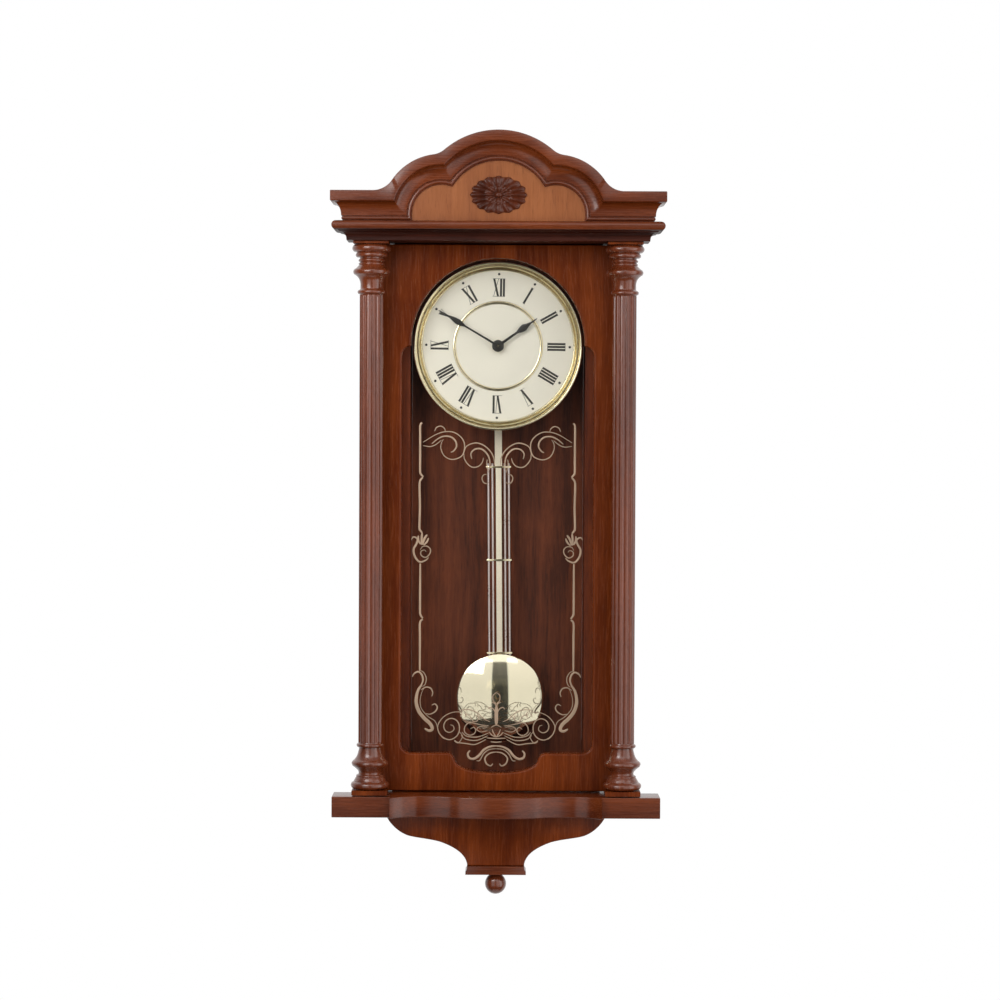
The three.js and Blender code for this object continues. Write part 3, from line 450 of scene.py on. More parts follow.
def rosette_lift(r, t):
    """How far the carving stands out at a share of its radius and an angle: petals, leaves and a boss."""
    petal = math.cos(PETALS * t)  # one at the middle of a petal
    outer = max(0.0, math.sin(math.pi * min(max((r - 0.4) / 0.6, 0), 1))) ** 0.55
    outer *= 0.35 + 0.65 * (0.5 + 0.5 * petal) ** 0.6
    outer -= 0.22 * math.exp(-(((1 - petal) / 0.1) ** 2)) * (0.5 < r < 0.94)  # a groove down each petal
    leaf = 0.5 + 0.5 * math.cos(LEAVES * t + 0.4)
    inner = max(0.0, 1 - abs(r - 0.32) / (0.12 + 0.14 * leaf)) ** 0.6 * (0.3 + 0.7 * leaf)
    boss = math.sqrt(max(0.0, 1 - (r / 0.15) ** 2))
    lift = 0.5 + 3.4 * max(outer, 0) + (3.2 * inner if r < 0.56 else 0) * (1 - boss) + 4.2 * boss
    return min(lift, 4.4)


def rosette():
    """An oval carving: sixteen grooved petals round a ring of leaves and a boss."""
    low, high = span("crown_rosette")
    centre, reach = (low + high) / 2, (high - low) / 2
    back, rim_lift = high.y, 0.7
    loops = [[(centre.x, back, centre.z)] * ROSETTE_SIDES]
    for i in range(ROSETTE_RINGS + 1):
        r = 1 - i / ROSETTE_RINGS
        loop = []
        for j in range(ROSETTE_SIDES):
            t = 2 * math.pi * j / ROSETTE_SIDES
            rim = 1 - 0.035 * (1 - math.cos(PETALS * t)) if r > 0.5 else 1
            x, h = centre.x + reach.x * rim * r * math.cos(t), centre.z + reach.z * rim * r * math.sin(t)
            loop.append((x, back - rosette_lift(r, t), h))
        if i == 0:
            loops.append([(x, back, h) for x, _, h in loop])
            loop = [(x, back - rim_lift, h) for x, _, h in loop]
        loops.append(loop)
    return stack(loops)


piece("crown_frame_moulding", crown_moulding(), CASE_ACROSS, "crown_moulding", crease=28)
piece("crown_board", crown_panel(), PANEL, "crown_panel")
piece("carved_rosette", rosette(), CARVED, "crown_rosette", crease=60)

# ---- cornice, shelf, apron ------------------------------------------------------------------------------

CORNICE, SHELF = span("cornice"), span("shelf")
NOSE_RADIUS = 4.9
SHOULDER_X = span("door_stile_right")[1].x + 1  # the slabs are shallow past the door's edge


def cornice():
    low, high = CORNICE
    nose = high.z - NOSE_RADIUS
    profile = [(-14, high.z), *arc(-NOSE_RADIUS, nose, NOSE_RADIUS, 90, -90, 14)]
    profile += [(-6.6, nose - 5.0), (-7.0, nose - 5.6)]
    profile += [*arc(-7.6, nose - 13.6, 7.4, 90, 180, 8, flat=7.6 / 7.4), (-15.2, low.z)]
    s = SHOULDER_X
    notch = [(s, CROWN_BACK), (s, high.y), (-s, high.y), (-s, CROWN_BACK)]  # the case's top stands in it
    loops = []
    for out, h in profile:
        x, y = high.x + out, low.y - out
        plan = [*notch, (-x, CROWN_BACK), (-x, y), (x, y), (x, CROWN_BACK)]
        loops.append([(px, py, h) for px, py in plan])
    return stack(loops)


SHELF_HOLLOW, EAR_SETBACK = 14, 8  # how far the shelf's hollows and its ears stand back from its bow


def shelf():
    """The shelf: plain ears, and a serpentine front between them."""
    low, high = SHELF
    corner, hollow = span("side_board_right")[1].x, low.y + SHELF_HOLLOW
    half = bezier((0, low.y), (54, low.y), (34, hollow), (80, hollow), 24)
    half += bezier((80, hollow), (94, hollow), (104, low.y + 7), (corner, low.y), 14)[1:]
    half += [(corner + 0.01, low.y + EAR_SETBACK), (high.x, low.y + EAR_SETBACK), (high.x, CROWN_BACK)]
    half += [(SHOULDER_X, CROWN_BACK), (SHOULDER_X, high.y)]
    return slab(mirrored(half), low.z, high.z, 0.9, upright=True)


def apron():
    low, high = span("apron")
    foot = span("apron_foot")
    neck = (foot[1].x - 2, low.z)
    half = bezier(neck, (foot[1].x - 1, 45), (46, 52.3), (59, 57), 16)
    half += bezier((59, 57), (72, 60.6), (84, 60.8), (94, 63.8), 10)[1:]
    half += bezier((94, 63.8), (104, 67.5), (113, 76), (high.x, high.z), 12)[1:]
    return slab(mirrored(half), low.y, high.y, 1.2)


def apron_foot():
    low, high = span("apron_foot")
    x, z = high.x, low.z
    half = [(x, z), (x, z + 3.2)]
    half += bezier((x - 0.4, z + 3.8), (x - 1.4, z + 4.6), (x - 1.7, z + 6), (x - 1.8, high.z), 6)
    return slab(mirrored(half), low.y, high.y, 0.7)


def finial():
    low, high = span("finial")
    radius = (high.x - low.x) / 2
    centre = ((low.x + high.x) / 2, (low.y + high.y) / 2)
    profile = arc(0, radius, radius, -90, 62, 40)
    profile += [(4.2, radius * 1.9), (3.6, high.z - 0.6), (4.4, high.z), (0, high.z)]
    return lathe(profile, centre, sides=64)


cornice_piece = piece("cornice_moulding", cornice(), CASE_ACROSS, "cornice")
cornice_piece.data.materials.append(PAINTED_SHADE)
NOSE_FOOT = metres(0, 0, CORNICE[1].z - 8.4).z  # everything below the cornice's rounded nose gets painted shade: near-black wood in place of the shade under the nose
# painted shade mask: faces below the nose take the near-black second material
for face in cornice_piece.data.polygons:
    face.material_index = int(face.center.z < NOSE_FOOT)
piece("serpentine_shelf", shelf(), CASE_ACROSS, "shelf")
piece("shaped_apron", apron(), CASE_UP, "apron")
piece("apron_block", apron_foot(), CASE_ACROSS, "apron_foot")
piece("ball_finial", finial(), TURNED, "finial")

# ---- door -----------------------------------------------------------------------------------------------

BEZEL = span("bezel")
DIAL_HEIGHT = (BEZEL[0].z + BEZEL[1].z) / 2
OPENING_HALF = span("door_stile_right")[0].x
OPENING_BOTTOM, OPENING_DIP, OPENING_CORNER = 149.4, 127.9, 11.0
ARCH_HOLE, SHOULDER_DROP = 92.7, 0.7
HUB = Vector((0, 400))  # every door outline is seen whole from here


def opening():
    """The door's opening: arched over the dial, square shoulders with round corners, a shaped lower edge."""
    w, r, shoulder = OPENING_HALF, OPENING_CORNER, DIAL_HEIGHT - SHOULDER_DROP
    dip, bottom = OPENING_DIP, OPENING_BOTTOM
    bend, step = (40, dip + 8), (44, dip + 13)
    half = bezier((0, dip), (14, dip + 0.2), (33, dip + 2.4), bend, 14)
    half += bezier(bend, (42, dip + 9.6), (43.2, dip + 11), step, 5)[1:]
    half += bezier(step, (45.6, dip + 18), (48, bottom), (53, bottom), 8)[1:]
    half += [(70, bottom)] + arc(w - r, bottom + r, r, -90, 0, 12)
    half += [(w, h) for h in (200, 300, 400, 500)]
    half += arc(w - r, shoulder - r, r, 0, 66, 8)
    half += [(math.sqrt(ARCH_HOLE**2 - SHOULDER_DROP**2), shoulder)]
    half += arc(0, DIAL_HEIGHT, ARCH_HOLE, 1.8, 90, 50)
    return mirrored(half)


def on_box(line, x, low, high):
    """Where rays from the hub through a line's points meet a box; the nearest rays go to its corners."""
    made, angles = [], []
    for point in line:
        ray = Vector(point) - HUB
        angles.append(math.atan2(ray.y, ray.x))
        limits = [x / abs(ray.x) if ray.x else 1e9]
        limits.append(((high if ray.y > 0 else low) - HUB.y) / ray.y if ray.y else 1e9)
        made.append(tuple(HUB + ray * min(limits)))
    for corner in ((x, low), (x, high), (-x, high), (-x, low)):
        to = Vector(corner) - HUB
        angle = math.atan2(to.y, to.x)
        nearest = min(range(len(angles)), key=lambda i: abs(math.remainder(angles[i] - angle, 2 * math.pi)))
        made[nearest] = corner
    return made


def door_frame():
    low, high = span("door_stile_left")
    front, back, x = low.y, high.y, -low.x
    pane = span("glass_pane")
    line = opening()
    seat = pane[0].y - 0.3
    rebate = on_box(line, pane[1].x + 0.4, pane[0].z - 0.3, pane[1].z + 0.3)
    outer = on_box(line, x, low.z, high.z)
    loops = [(line, seat)]
    loops += [(inset(line, -i), front + d) for i, d in reversed(rounding(2.2, 6))]
    loops += [(inset(outer, i), front + d) for i, d in rounding(1.5, 5)]
    loops += [(outer, back), (rebate, back), (rebate, seat)]
    return stack([[(px, y, h) for px, h in loop] for loop, y in loops], ring=True)


SHAFT_RADIUS, SHAFT_LOW, SHAFT_HIGH = 12.75, 163.6, 637.4
REEDS, GROOVE_DEPTH = 12, 1.5


def column_foot():
    """The turned foot's profile, from the base block up to the shaft."""
    points = [(0, 114), *arc(16.6, 118, 3.8, -70, 75, 8), (17.2, 122.1), (17.2, 123)]
    points += smooth([(16.7, 123.2), (15.6, 125.4), (14.4, 127.2)], 2)
    points += smooth([(14.7, 127.5), (14.5, 128.5), (13.4, 129.2)], 2)
    points += smooth([(12.4, 129.6), (12.1, 131.4), (13.0, 133.6), (15.4, 136.0), (17.8, 138.0)], 3)
    points += smooth([(18.6, 138.6), (19.5, 140.6), (19.3, 142.4), (17.9, 144.2)], 3)
    neck = [(17.0, 144.7), (15.0, 147.2), (13.6, 149.8), (12.6, 153.2), (11.7, 157), (11.6, 158.3)]
    points += smooth(neck, 2)
    return points + [*arc(12.3, 160.4, 2.1, -80, 80, 8), (SHAFT_RADIUS - 0.4, SHAFT_LOW - 0.3)]


def column_head():
    """The turned head's profile, from the shaft up to the cap block."""
    points = [(SHAFT_RADIUS - 0.4, SHAFT_HIGH + 0.3), *arc(12.6, 640.9, 2.3, -85, 85, 8)]
    bell = [(11.8, 644.4), (11.8, 648), (12.2, 651.5), (13.3, 654.8), (15.4, 657.4), (18, 659.4)]
    points += smooth(bell, 3)
    points += smooth([(18.8, 659.9), (19.5, 661.8), (19.3, 663.6), (18.3, 665.1)], 3)
    points += smooth([(17.6, 665.4), (15.4, 667.2), (13.6, 669.2)], 2)
    points += [*arc(12.6, 670.6, 1.2, -60, 60, 5), (12.4, 672), *arc(12.6, 674.3, 1.4, -70, 70, 6)]
    points += [(12.4, 676), (12.7, 677.4), *arc(14.4, 680, 2.6, -88, 62, 8), (15.8, 682.6), (16.4, 683)]
    return points + [*arc(16.6, 687, 4, -75, 75, 10), (17.6, 691.1), (0, 691.1)]


def reeded(r, h, t):
    """Rounded reeds parted by narrow grooves, along the shaft only; one groove faces front."""
    if not SHAFT_LOW <= h <= SHAFT_HIGH:
        return r
    groove = (0.5 + 0.5 * math.cos(REEDS * (t + math.pi / 2))) ** 2.2
    return r - GROOVE_DEPTH * groove


def column(side):
    low, high = span(f"column_{side}")
    length = SHAFT_HIGH - SHAFT_LOW
    shaft = [(SHAFT_RADIUS, SHAFT_LOW + length * share) for share in (0, 0.004, 0.5, 0.996, 1)]
    profile = column_foot() + shaft + column_head()
    return lathe(profile, ((low.x + high.x) / 2, (low.y + high.y) / 2), sides=192, radius=reeded)


MEMBERS = ("door_top_rail", "door_bottom_rail", "door_stile_right")
piece("door_frame", door_frame(), CASE_UP, "door_stile_left", MEMBERS)
for side in ("left", "right"):
    piece(f"reeded_column_{side}", column(side), TURNED, f"column_{side}", crease=40)

# ---- dial and hands -------------------------------------------------------------------------------------

DIAL_SPAN = span("dial_plate")
DIAL_FACE = DIAL_SPAN[0].y
DIAL_CENTRE = (0, DIAL_HEIGHT)
DIAL_BORE = 4.6  # for the hands' arbors
BEZEL_OUTER, BEZEL_INNER, BEZEL_HOLLOW, RIM_RADIUS = BEZEL[1].x, 81.0, 86.3, 1.7
DIAL_TURN = 0.7  # the print sits a little clockwise


def dial_plate():
    low, high = DIAL_SPAN
    profile = [(DIAL_BORE, low.y), (high.x - 0.3, low.y), (high.x, low.y + 0.3)]
    profile += [(high.x, high.y), (DIAL_BORE, high.y)]
    return lathe(profile, DIAL_CENTRE, upright=False, sides=128, ring=True)


def bezel():
    """A small inner bead, a flared band and a round outer rim."""
    face, back, rim = DIAL_FACE, BEZEL[1].y, BEZEL[0].y
    inner, outer = BEZEL_INNER, BEZEL_OUTER
    profile = [(inner + 0.2, face - 0.3), *arc(inner + 1.2, face - 1.9, 1.2, 180, 0, 8, flat=-1)]
    profile += [(inner + 2.6, face - 2.0), (inner + 2.8, face - 2.6)]
    profile += smooth([(inner + 2.8, face - 2.6), (inner + 4.4, face - 4.6), (inner + 6.2, face - 6.4)], 5)
    profile += [(inner + 6.5, face - 6.3), (inner + 6.9, face - 6.6)]
    profile += arc(outer - RIM_RADIUS, rim + RIM_RADIUS, RIM_RADIUS, 165.6, 0, 9, flat=-1)
    profile += [(outer, back), (BEZEL_HOLLOW, back), (BEZEL_HOLLOW, face - 0.3)]
    return lathe(profile, DIAL_CENTRE, upright=False, sides=160, ring=True)


def chapter_ring():
    high = span("chapter_ring")[1]
    half, lift = 1.8, 0.6
    profile = arc(high.x - half, high.y, half, 0, 180, 10, flat=-lift / half)
    return lathe(profile, DIAL_CENTRE, upright=False, sides=128, ring=True)


def plate_of(outline, front, back, turn=0.0, centre=(0.0, 0.0)):
    """A flat closed outline between two planes, turned clockwise about centre."""
    c, s = math.cos(math.radians(turn)), math.sin(math.radians(turn))
    turned = [(centre[0] + x * c + z * s, centre[1] - x * s + z * c) for x, z in outline]
    return stack([[(x, y, z) for x, z in turned] for y in (front, back)])


def stroke(x0, z0, x1, z1, width):
    """A bar between two heights, with level ends."""
    half = width / 2
    return [(x0 - half, z0), (x0 + half, z0), (x1 + half, z1), (x1 - half, z1)]


THICK, THIN, SERIF, PRINT_LIFT = 2.25, 0.5, 0.4, 0.12
NUMERAL_LOW, NUMERAL_HIGH = 53.4, 72.4  # from the dial's centre
LETTER_WIDTHS = {"I": 3.1, "V": 7.4, "X": 7.6}


def numeral(text, hour):
    """A Roman numeral whose feet point at the dial's centre."""
    total = sum(LETTER_WIDTHS[c] for c in text)
    x, bars = -total / 2, []
    low, high = NUMERAL_LOW, NUMERAL_HIGH
    for c in text:
        w = LETTER_WIDTHS[c]
        if c == "I":
            bars.append(stroke(x + w / 2, low, x + w / 2, high, THICK))
        elif c == "V":
            bars.append(stroke(x + w - 2.6, low, x + 1.5, high, THICK))
            bars.append(stroke(x + w - 2.3, low, x + w - 0.9, high, THIN))
        else:
            bars.append(stroke(x + w - 1.6, low, x + 1.6, high, THICK))
            bars.append(stroke(x + 1.2, low, x + w - 1.2, high, THIN))
        x += w
    for h in (low, high):
        bars.append(stroke(0, h - SERIF / 2, 0, h + SERIF / 2, total - 0.2))
    angle = hour * 30 + DIAL_TURN
    plates = []
    for i, bar in enumerate(bars):
        front = DIAL_FACE - PRINT_LIFT - 0.002 * i  # no two bars share a plane
        plates.append(plate_of(bar, front, DIAL_FACE - 0.01, angle, DIAL_CENTRE))
    return combined(*plates)


NUMERALS = ("XII", "I", "II", "III", "IIII", "V", "VI", "VII", "VIII", "IX", "X", "XI")
DOT_RADIUS, DOT_CIRCLE = 1.35, 77.3


def hour_dots():
    dots = []
    for hour in range(12):
        t = math.radians(hour * 30 + DIAL_TURN)
        x, z = DOT_CIRCLE * math.sin(t), DIAL_HEIGHT + DOT_CIRCLE * math.cos(t)
        dots.append(plate_of(arc(x, z, DOT_RADIUS, 0, 345, 23), DIAL_FACE - PRINT_LIFT, DIAL_FACE - 0.01))
    return combined(*dots)


def hand(node, hub, stem, leaf, leaf_width, tip, angle):
    """A hand: round hub, slim stem, a leaf with its foot, belly and end at three heights, and a fine tip."""
    low, high = span(node)
    start = math.degrees(math.acos(stem / hub))
    foot, belly, end = leaf
    swell = [(stem * 0.8, foot), (leaf_width * 0.75, (foot + belly) / 2), (leaf_width, belly)]
    taper = [(leaf_width, belly), (leaf_width * 0.62, belly + (end - belly) * 0.4), (1.0, end)]
    half = arc(0, 0, hub, -90, start, 16) + [(stem * 0.8, foot)]
    half += smooth(swell, 5)[1:] + smooth(taper, 5)[1:]
    half += [(0.75, tip - 3), (0.4, tip - 0.6), (0, tip)]
    c, s = math.cos(math.radians(angle)), math.sin(math.radians(angle))
    rims = [(i, low.y + d) for i, d in rounding(0.25, 2)] + [(0, high.y)]
    loops = []
    for depth, y in rims:
        line = inset(mirrored(half), depth)
        loops.append([(x * c + z * s, y, DIAL_HEIGHT - x * s + z * c) for x, z in line])
    return stack(loops)


def hand_nut():
    low, high = span("hand_nut")
    profile = [(1.5, low.y + 0.2), (1.8, low.y), (2.5, low.y), (3, low.y + 0.5), (3, high.y), (1.5, high.y)]
    return lathe(profile, DIAL_CENTRE, upright=False, sides=48, ring=True)


MINUTE_HAND = {"hub": 5.2, "stem": 1.15, "leaf": (41, 51, 61), "leaf_width": 3.3, "tip": 74.5}
HOUR_HAND = {"hub": 6.4, "stem": 1.5, "leaf": (25, 34.5, 43), "leaf_width": 3.9, "tip": 51.5}
MINUTE_ANGLE, HOUR_ANGLE = 300.6, 54.8  # clockwise from twelve

piece("dial_face", dial_plate(), DIAL, "dial_plate")
piece("dial_bezel", bezel(), BRASS, "bezel", crease=40)
piece("raised_chapter_ring", chapter_ring(), BRASS, "chapter_ring", crease=50)
numerals = combined(*[numeral(text, hour) for hour, text in enumerate(NUMERALS)])
piece("roman_numerals", numerals, PRINT, body="case")
piece("hour_dot_marks", hour_dots(), PRINT, body="case")
piece("leaf_minute_hand", hand("minute_hand", **MINUTE_HAND, angle=MINUTE_ANGLE), BLACK, "minute_hand")
piece("leaf_hour_hand", hand("hour_hand", **HOUR_HAND, angle=HOUR_ANGLE), BLACK, "hour_hand")
piece("hub_nut", hand_nut(), BLACK, "hand_nut")

# ---- pendulum -------------------------------------------------------------------------------------------

JOINTS = {joint["name"]: joint for joint in frame["joints"]}
PIVOT = (JOINTS["pendulum_swing"]["pos_m"][2] - TIP) * 1000
PENDULUM_Y = JOINTS["pendulum_swing"]["pos_m"][1] * 1000
SWUNG = math.atan2(JOINTS["rating_nut_turn"]["axis"][0], JOINTS["rating_nut_turn"]["axis"][2])
BOB_LOW, BOB_HIGH = span("pendulum_bob")
BOB_RADIUS = (BOB_HIGH.x - BOB_LOW.x) / 2
BOB_DROP = math.hypot((BOB_LOW.x + BOB_HIGH.x) / 2, PIVOT - (BOB_LOW.z + BOB_HIGH.z) / 2)
CROSSBARS, ROD_X = (-104.6, -205.9, -307.2), (-11.2, -6.7, 6.7, 11.2)
STRIP_TOP, STRIP_FOOT, UPPER_WIDTH, LOWER_WIDTH = -24, -BOB_DROP + 34, 7.8, 6.2
BAR_HALF, BAR_RISE, KNOB_RADIUS, KNOB_X = 13.4, 1.1, 1.6, 13.1


def hung(shape):
    """Swings a shape that is drawn below a pivot at zero out to where the pendulum rests."""
    points, faces = shape
    c, s = math.cos(SWUNG), math.sin(SWUNG)
    return [(x * c + h * s, y, PIVOT - x * s + h * c) for x, y, h in points], faces


def pendulum_strip():
    """A wider strip down to the first crossbar and a narrower one from there to behind the bob."""
    front, back, top = PENDULUM_Y - 0.7, PENDULUM_Y + 0.7, CROSSBARS[0]
    upper = stroke(0, top, 0, STRIP_TOP, UPPER_WIDTH)
    lower = stroke(0, STRIP_FOOT, 0, top + 1, LOWER_WIDTH)
    return combined(slab(upper, front - 0.1, back, 0.35, steps=2), slab(lower, front, back, 0.35, steps=2))


def pendulum_rods():
    low, high = CROSSBARS[-1] - 3, CROSSBARS[0] + 4
    profile = [(0, low), (0.8, low), (1.2, low + 0.5), (1.2, high - 0.5), (0.8, high), (0, high)]
    return combined(*[lathe(profile, (x, PENDULUM_Y), sides=20) for x in ROD_X])


def crossbars():
    """Thin bars that hold the rods, each with small knobs at its ends."""
    parts = []
    for h in CROSSBARS:
        bar = stroke(0, h - BAR_RISE, 0, h + BAR_RISE, 2 * BAR_HALF)
        parts.append(slab(bar, PENDULUM_Y - 1.9, PENDULUM_Y + 1.9, 0.4, steps=2))
        knob = [(0, h - KNOB_RADIUS), *arc(0, h, KNOB_RADIUS, -80, 80, 8), (0, h + KNOB_RADIUS)]
        for x in (-KNOB_X, KNOB_X):
            parts.append(lathe(knob, (x, PENDULUM_Y), sides=16))
    return combined(*parts)


def bob():
    """A polished dome with a narrow rolled rim and a flat back."""
    back, edge = BOB_HIGH.y, BOB_RADIUS - 0.9
    rise = back - 1.4 - BOB_LOW.y
    dome = (edge**2 + rise**2) / (2 * rise)
    lean, centre = math.degrees(math.asin(edge / dome)), BOB_LOW.y + dome
    profile = [(0, back), (BOB_RADIUS - 0.5, back), (BOB_RADIUS, back - 0.4), (BOB_RADIUS - 0.1, back - 1)]
    profile += [(edge, back - 1.4)]
    for x, z in arc(0, 0, dome, lean, 0, 30)[1:]:
        profile.append((z, centre - x))
    return lathe(profile, (0, -BOB_DROP), upright=False, sides=160)


NUT_NOTCHES, NOTCH_DEPTH, NUT_HALF, NUT_BORE = 24, 0.18, 2.0, 1.7


def rating_nut():
    low, high = span("rating_nut")
    radius, middle = (high.x - low.x) / 2, (low.z + high.z) / 2 - PIVOT
    foot, top = middle - NUT_HALF, middle + NUT_HALF

    def milled(r, at, t):
        return r - NOTCH_DEPTH * (math.cos(NUT_NOTCHES * t) > 0) * (r > radius - 0.3)

    profile = [(NUT_BORE, foot), (radius - 0.4, foot), (radius, foot + 0.4)]
    profile += [(radius, top - 0.4), (radius - 0.4, top), (NUT_BORE, top)]
    return lathe(profile, (0, PENDULUM_Y), sides=96, ring=True, radius=milled)


piece("pendulum_strip", hung(pendulum_strip()), SATIN, "pendulum_grid")
piece("pendulum_rods", hung(pendulum_rods()), STEEL, body="pendulum")
piece("pendulum_crossbars", hung(crossbars()), BRASS, body="pendulum")
piece("domed_bob", hung(bob()), POLISHED, "pendulum_bob", crease=30)
piece("milled_rating_nut", hung(rating_nut()), BRASS, "rating_nut")

# ---- gilt ornament on the glass -------------------------------------------------------------------------

# Strokes of the right half, and a few across the middle, as (width, points), in millimetres from the
# centre line and above the tip.
SIDE_BARS = [
    (2.7, [(81, 503), (83, 499.5), (83, 486), (83, 465), (83, 452.5), (82.5, 448.5), (79.5, 445)]),
    (2.7, [(80, 444.5), (83, 440.5), (83.5, 433.5), (83, 412), (83.5, 391), (82.5, 387.5), (80.5, 385)]),
    (2.7, [(82.5, 352), (82.5, 332.5), (82.5, 302), (82, 297), (79.5, 293)]),
    (2.7, [(79.5, 292), (82.5, 288), (82.5, 274), (82.5, 252.5), (82.5, 236.5)]),
]
TOP_SCROLLS = [
    (1.5, [(80, 482), (70.5, 488), (63.5, 491.5), (56, 493.5), (47.5, 493), (40, 488.5), (36, 482.5),
        (35.5, 475), (38, 468), (44, 464.5), (50.5, 464), (57, 467.5), (60.5, 474.5), (60.5, 480.5),
        (58, 485.5)]),
    (2.1, [(70.5, 480.5), (64.5, 485.5), (58, 488.5), (50.5, 488), (45.5, 484), (44, 478), (47, 473),
        (50, 471.5)]),
    (1.3, [(80, 478.5), (72.5, 477.5), (66.5, 479.5), (60, 484.5)]),
    (1.4, [(56, 493.5), (57, 497), (61, 499.5), (65.5, 498), (67.5, 494)]),
    (1.6, [(36.5, 469), (34, 477), (28.5, 480.5), (21.5, 481.5), (14, 478.5), (7.5, 472.5), (4, 465.5),
        (3, 457.5)]),
    (1.5, [(36, 470), (35.5, 464.5), (31.5, 458.5), (26.5, 455.5), (20.5, 456.5), (16.5, 460.5),
        (15, 465.5)]),
    (2.1, [(27.5, 464.5), (28.5, 470), (25, 474.5), (19, 475.5), (14, 473), (9.5, 467), (8, 459.5),
        (8.5, 452.5)]),
    (1.4, [(9, 440), (11.5, 438), (15, 439.5), (16.5, 444), (14.5, 447.5), (10.5, 448)]),
    (1.3, [(11, 464), (11.5, 457.5), (9.5, 450)]),
]
SIDE_BUDS = [
    (2.6, [(92, 377.5), (89.5, 380.5), (85.5, 378), (86.5, 373), (89.5, 367.5), (89, 361.5), (86, 356),
        (82, 353.5), (76.5, 355.5), (73.5, 358.5)]),
    (2.6, [(82, 372.5), (84.5, 377), (84.5, 382)]),
    (2.8, [(81, 372), (81, 378.5), (80.5, 385)]),
    (2.8, [(80, 372), (78, 378.5), (75, 383)]),
    (2.4, [(79, 371.5), (75.5, 375), (73.5, 379.5)]),
    (1.5, [(82.5, 366.5), (80, 370), (75, 370.5), (71.5, 367), (72.5, 362), (77, 358.5), (81.5, 361),
        (81.5, 365), (78, 366.5), (76, 364.5)]),
]
CORNER_LEAVES = [
    (2.4, [(90.5, 230), (88.5, 233.5), (84, 235.5), (80.5, 232.5), (79, 227), (80.5, 222), (83, 219)]),
    (1.2, [(82.5, 237), (78.5, 235), (75.5, 229), (76.5, 222.5), (79.5, 219.5)]),
    (4.6, [(80, 222), (84, 216), (86, 208.5), (86, 201), (83, 192.5), (77.5, 185.5), (72.5, 181),
        (69.5, 177), (69, 173.5), (72.5, 172), (77, 174.5)]),
    (1.0, [(77.5, 218.5), (80.5, 212.5), (82, 204.5), (81, 197), (77, 191), (72, 186.5), (66.5, 183),
        (64, 178.5), (62.5, 172), (59, 166), (55.5, 163)]),
    (1.7, [(81, 216), (76, 219), (71, 218), (68.5, 213.5), (69.5, 209)]),
    (1.7, [(76, 190.5), (71, 190), (65.5, 193), (63.5, 197.5), (66, 201), (69.5, 199.5)]),
]
FOOT_SCROLLS = [
    (1.5, [(38.5, 192.5), (47, 192), (55.5, 188), (61.5, 181), (63, 174.5), (59.5, 167), (51.5, 162.5),
        (44, 165), (40, 171), (40, 178.5), (43, 183.5), (48.5, 185.5), (54, 183), (56.5, 177.5),
        (54.5, 172), (49.5, 170.5), (45.5, 173.5), (46.5, 177.5), (49.5, 178.5)]),
    (1.2, [(40, 171.5), (36.5, 167), (37.5, 163), (41, 159), (45, 161)]),
    (1.4, [(8, 177.5), (15.5, 178.5), (22.5, 180), (29, 181), (33.5, 177), (34, 171), (29, 167.5),
        (24, 169), (22, 173), (24.5, 176), (28, 174)]),
    (1.1, [(9, 176), (16.5, 177), (21, 174), (16.5, 171), (9, 172.5)]),
    (1.4, [(8, 170), (20.5, 165.5), (32, 166.5), (37, 171)]),
    (1.4, [(9, 167), (20.5, 162), (32.5, 163), (38, 167.5)]),
    (1.5, [(11, 163), (22.5, 157.5), (32.5, 158.5), (41, 159.5), (45, 162)]),
    (1.3, [(39.5, 194.5), (29, 195), (20.5, 191.5), (14, 185.5), (7, 182)]),
    (1.3, [(32, 190), (28, 187.5), (25, 182.5), (20.5, 183), (19, 187.5), (22.5, 188.5)]),
    (1.3, [(38.5, 187.5), (37, 191), (38.5, 194)]),
    (1.3, [(33.5, 186.5), (32.5, 190.5), (34.5, 193.5)]),
    (1.5, [(0, 165.5), (4.5, 167.5), (7.5, 171)]),
    (1.5, [(0, 165.5), (3, 170), (4.5, 174)]),
    (1.6, [(10, 164.5), (0, 164), (-10, 164.5)]),
    (1.6, [(6, 160.5), (0, 160), (-6, 160.5)]),
    (1.4, [(0.5, 190), (3, 195.5), (7, 197.5), (9, 195.5)]),
    (1.6, [(0, 197.5), (1.5, 201.5), (5, 203)]),
    (1.3, [(0, 201.5), (3.5, 205), (3.5, 210.5), (0, 213.5)]),
    (1.3, [(-5.5, 176), (0, 178.5), (5.5, 176)]),
    (3.0, [(0, 156), (7, 155), (13.5, 151.5), (18.5, 145.5), (24, 142), (29, 143), (30.5, 147.5),
        (28, 151)]),
    (2.0, [(0, 149.5), (7, 148), (12, 143), (10.5, 137), (6, 134.5), (3.5, 137)]),
    (1.4, [(0, 153), (7.5, 152), (13.5, 147.5), (17.5, 140.5), (21, 140)]),
    (4.6, [(0, 179), (0, 188), (0, 199)]),
]
GILT_BACK = span("glass_pane")[0].y - 0.02
STROKE_SCALE = 0.84  # of the widths above
RIDGE = ((1, 0), (0.8, 0.13), (0, 0.2), (-0.8, 0.13), (-1, 0))  # share of half the width, height


def brushed(width, points, blunt):
    """A painted stroke along points: a low ridge that swells in the middle and thins to its ends."""
    line = smooth(points, 5)
    loops = []
    for i, (x, h) in enumerate(line):
        ahead, behind = Vector(line[min(i + 1, len(line) - 1)]), Vector(line[max(i - 1, 0)])
        along = (ahead - behind).normalized()
        share = i / (len(line) - 1)
        half = STROKE_SCALE * width / 2 * (blunt + (1 - blunt) * math.sin(math.pi * share) ** 0.5)
        loop = []
        for out, lift in RIDGE:
            loop.append((x - along.y * half * out, GILT_BACK - lift, h + along.x * half * out))
        loops.append(loop)
    return stack(loops)


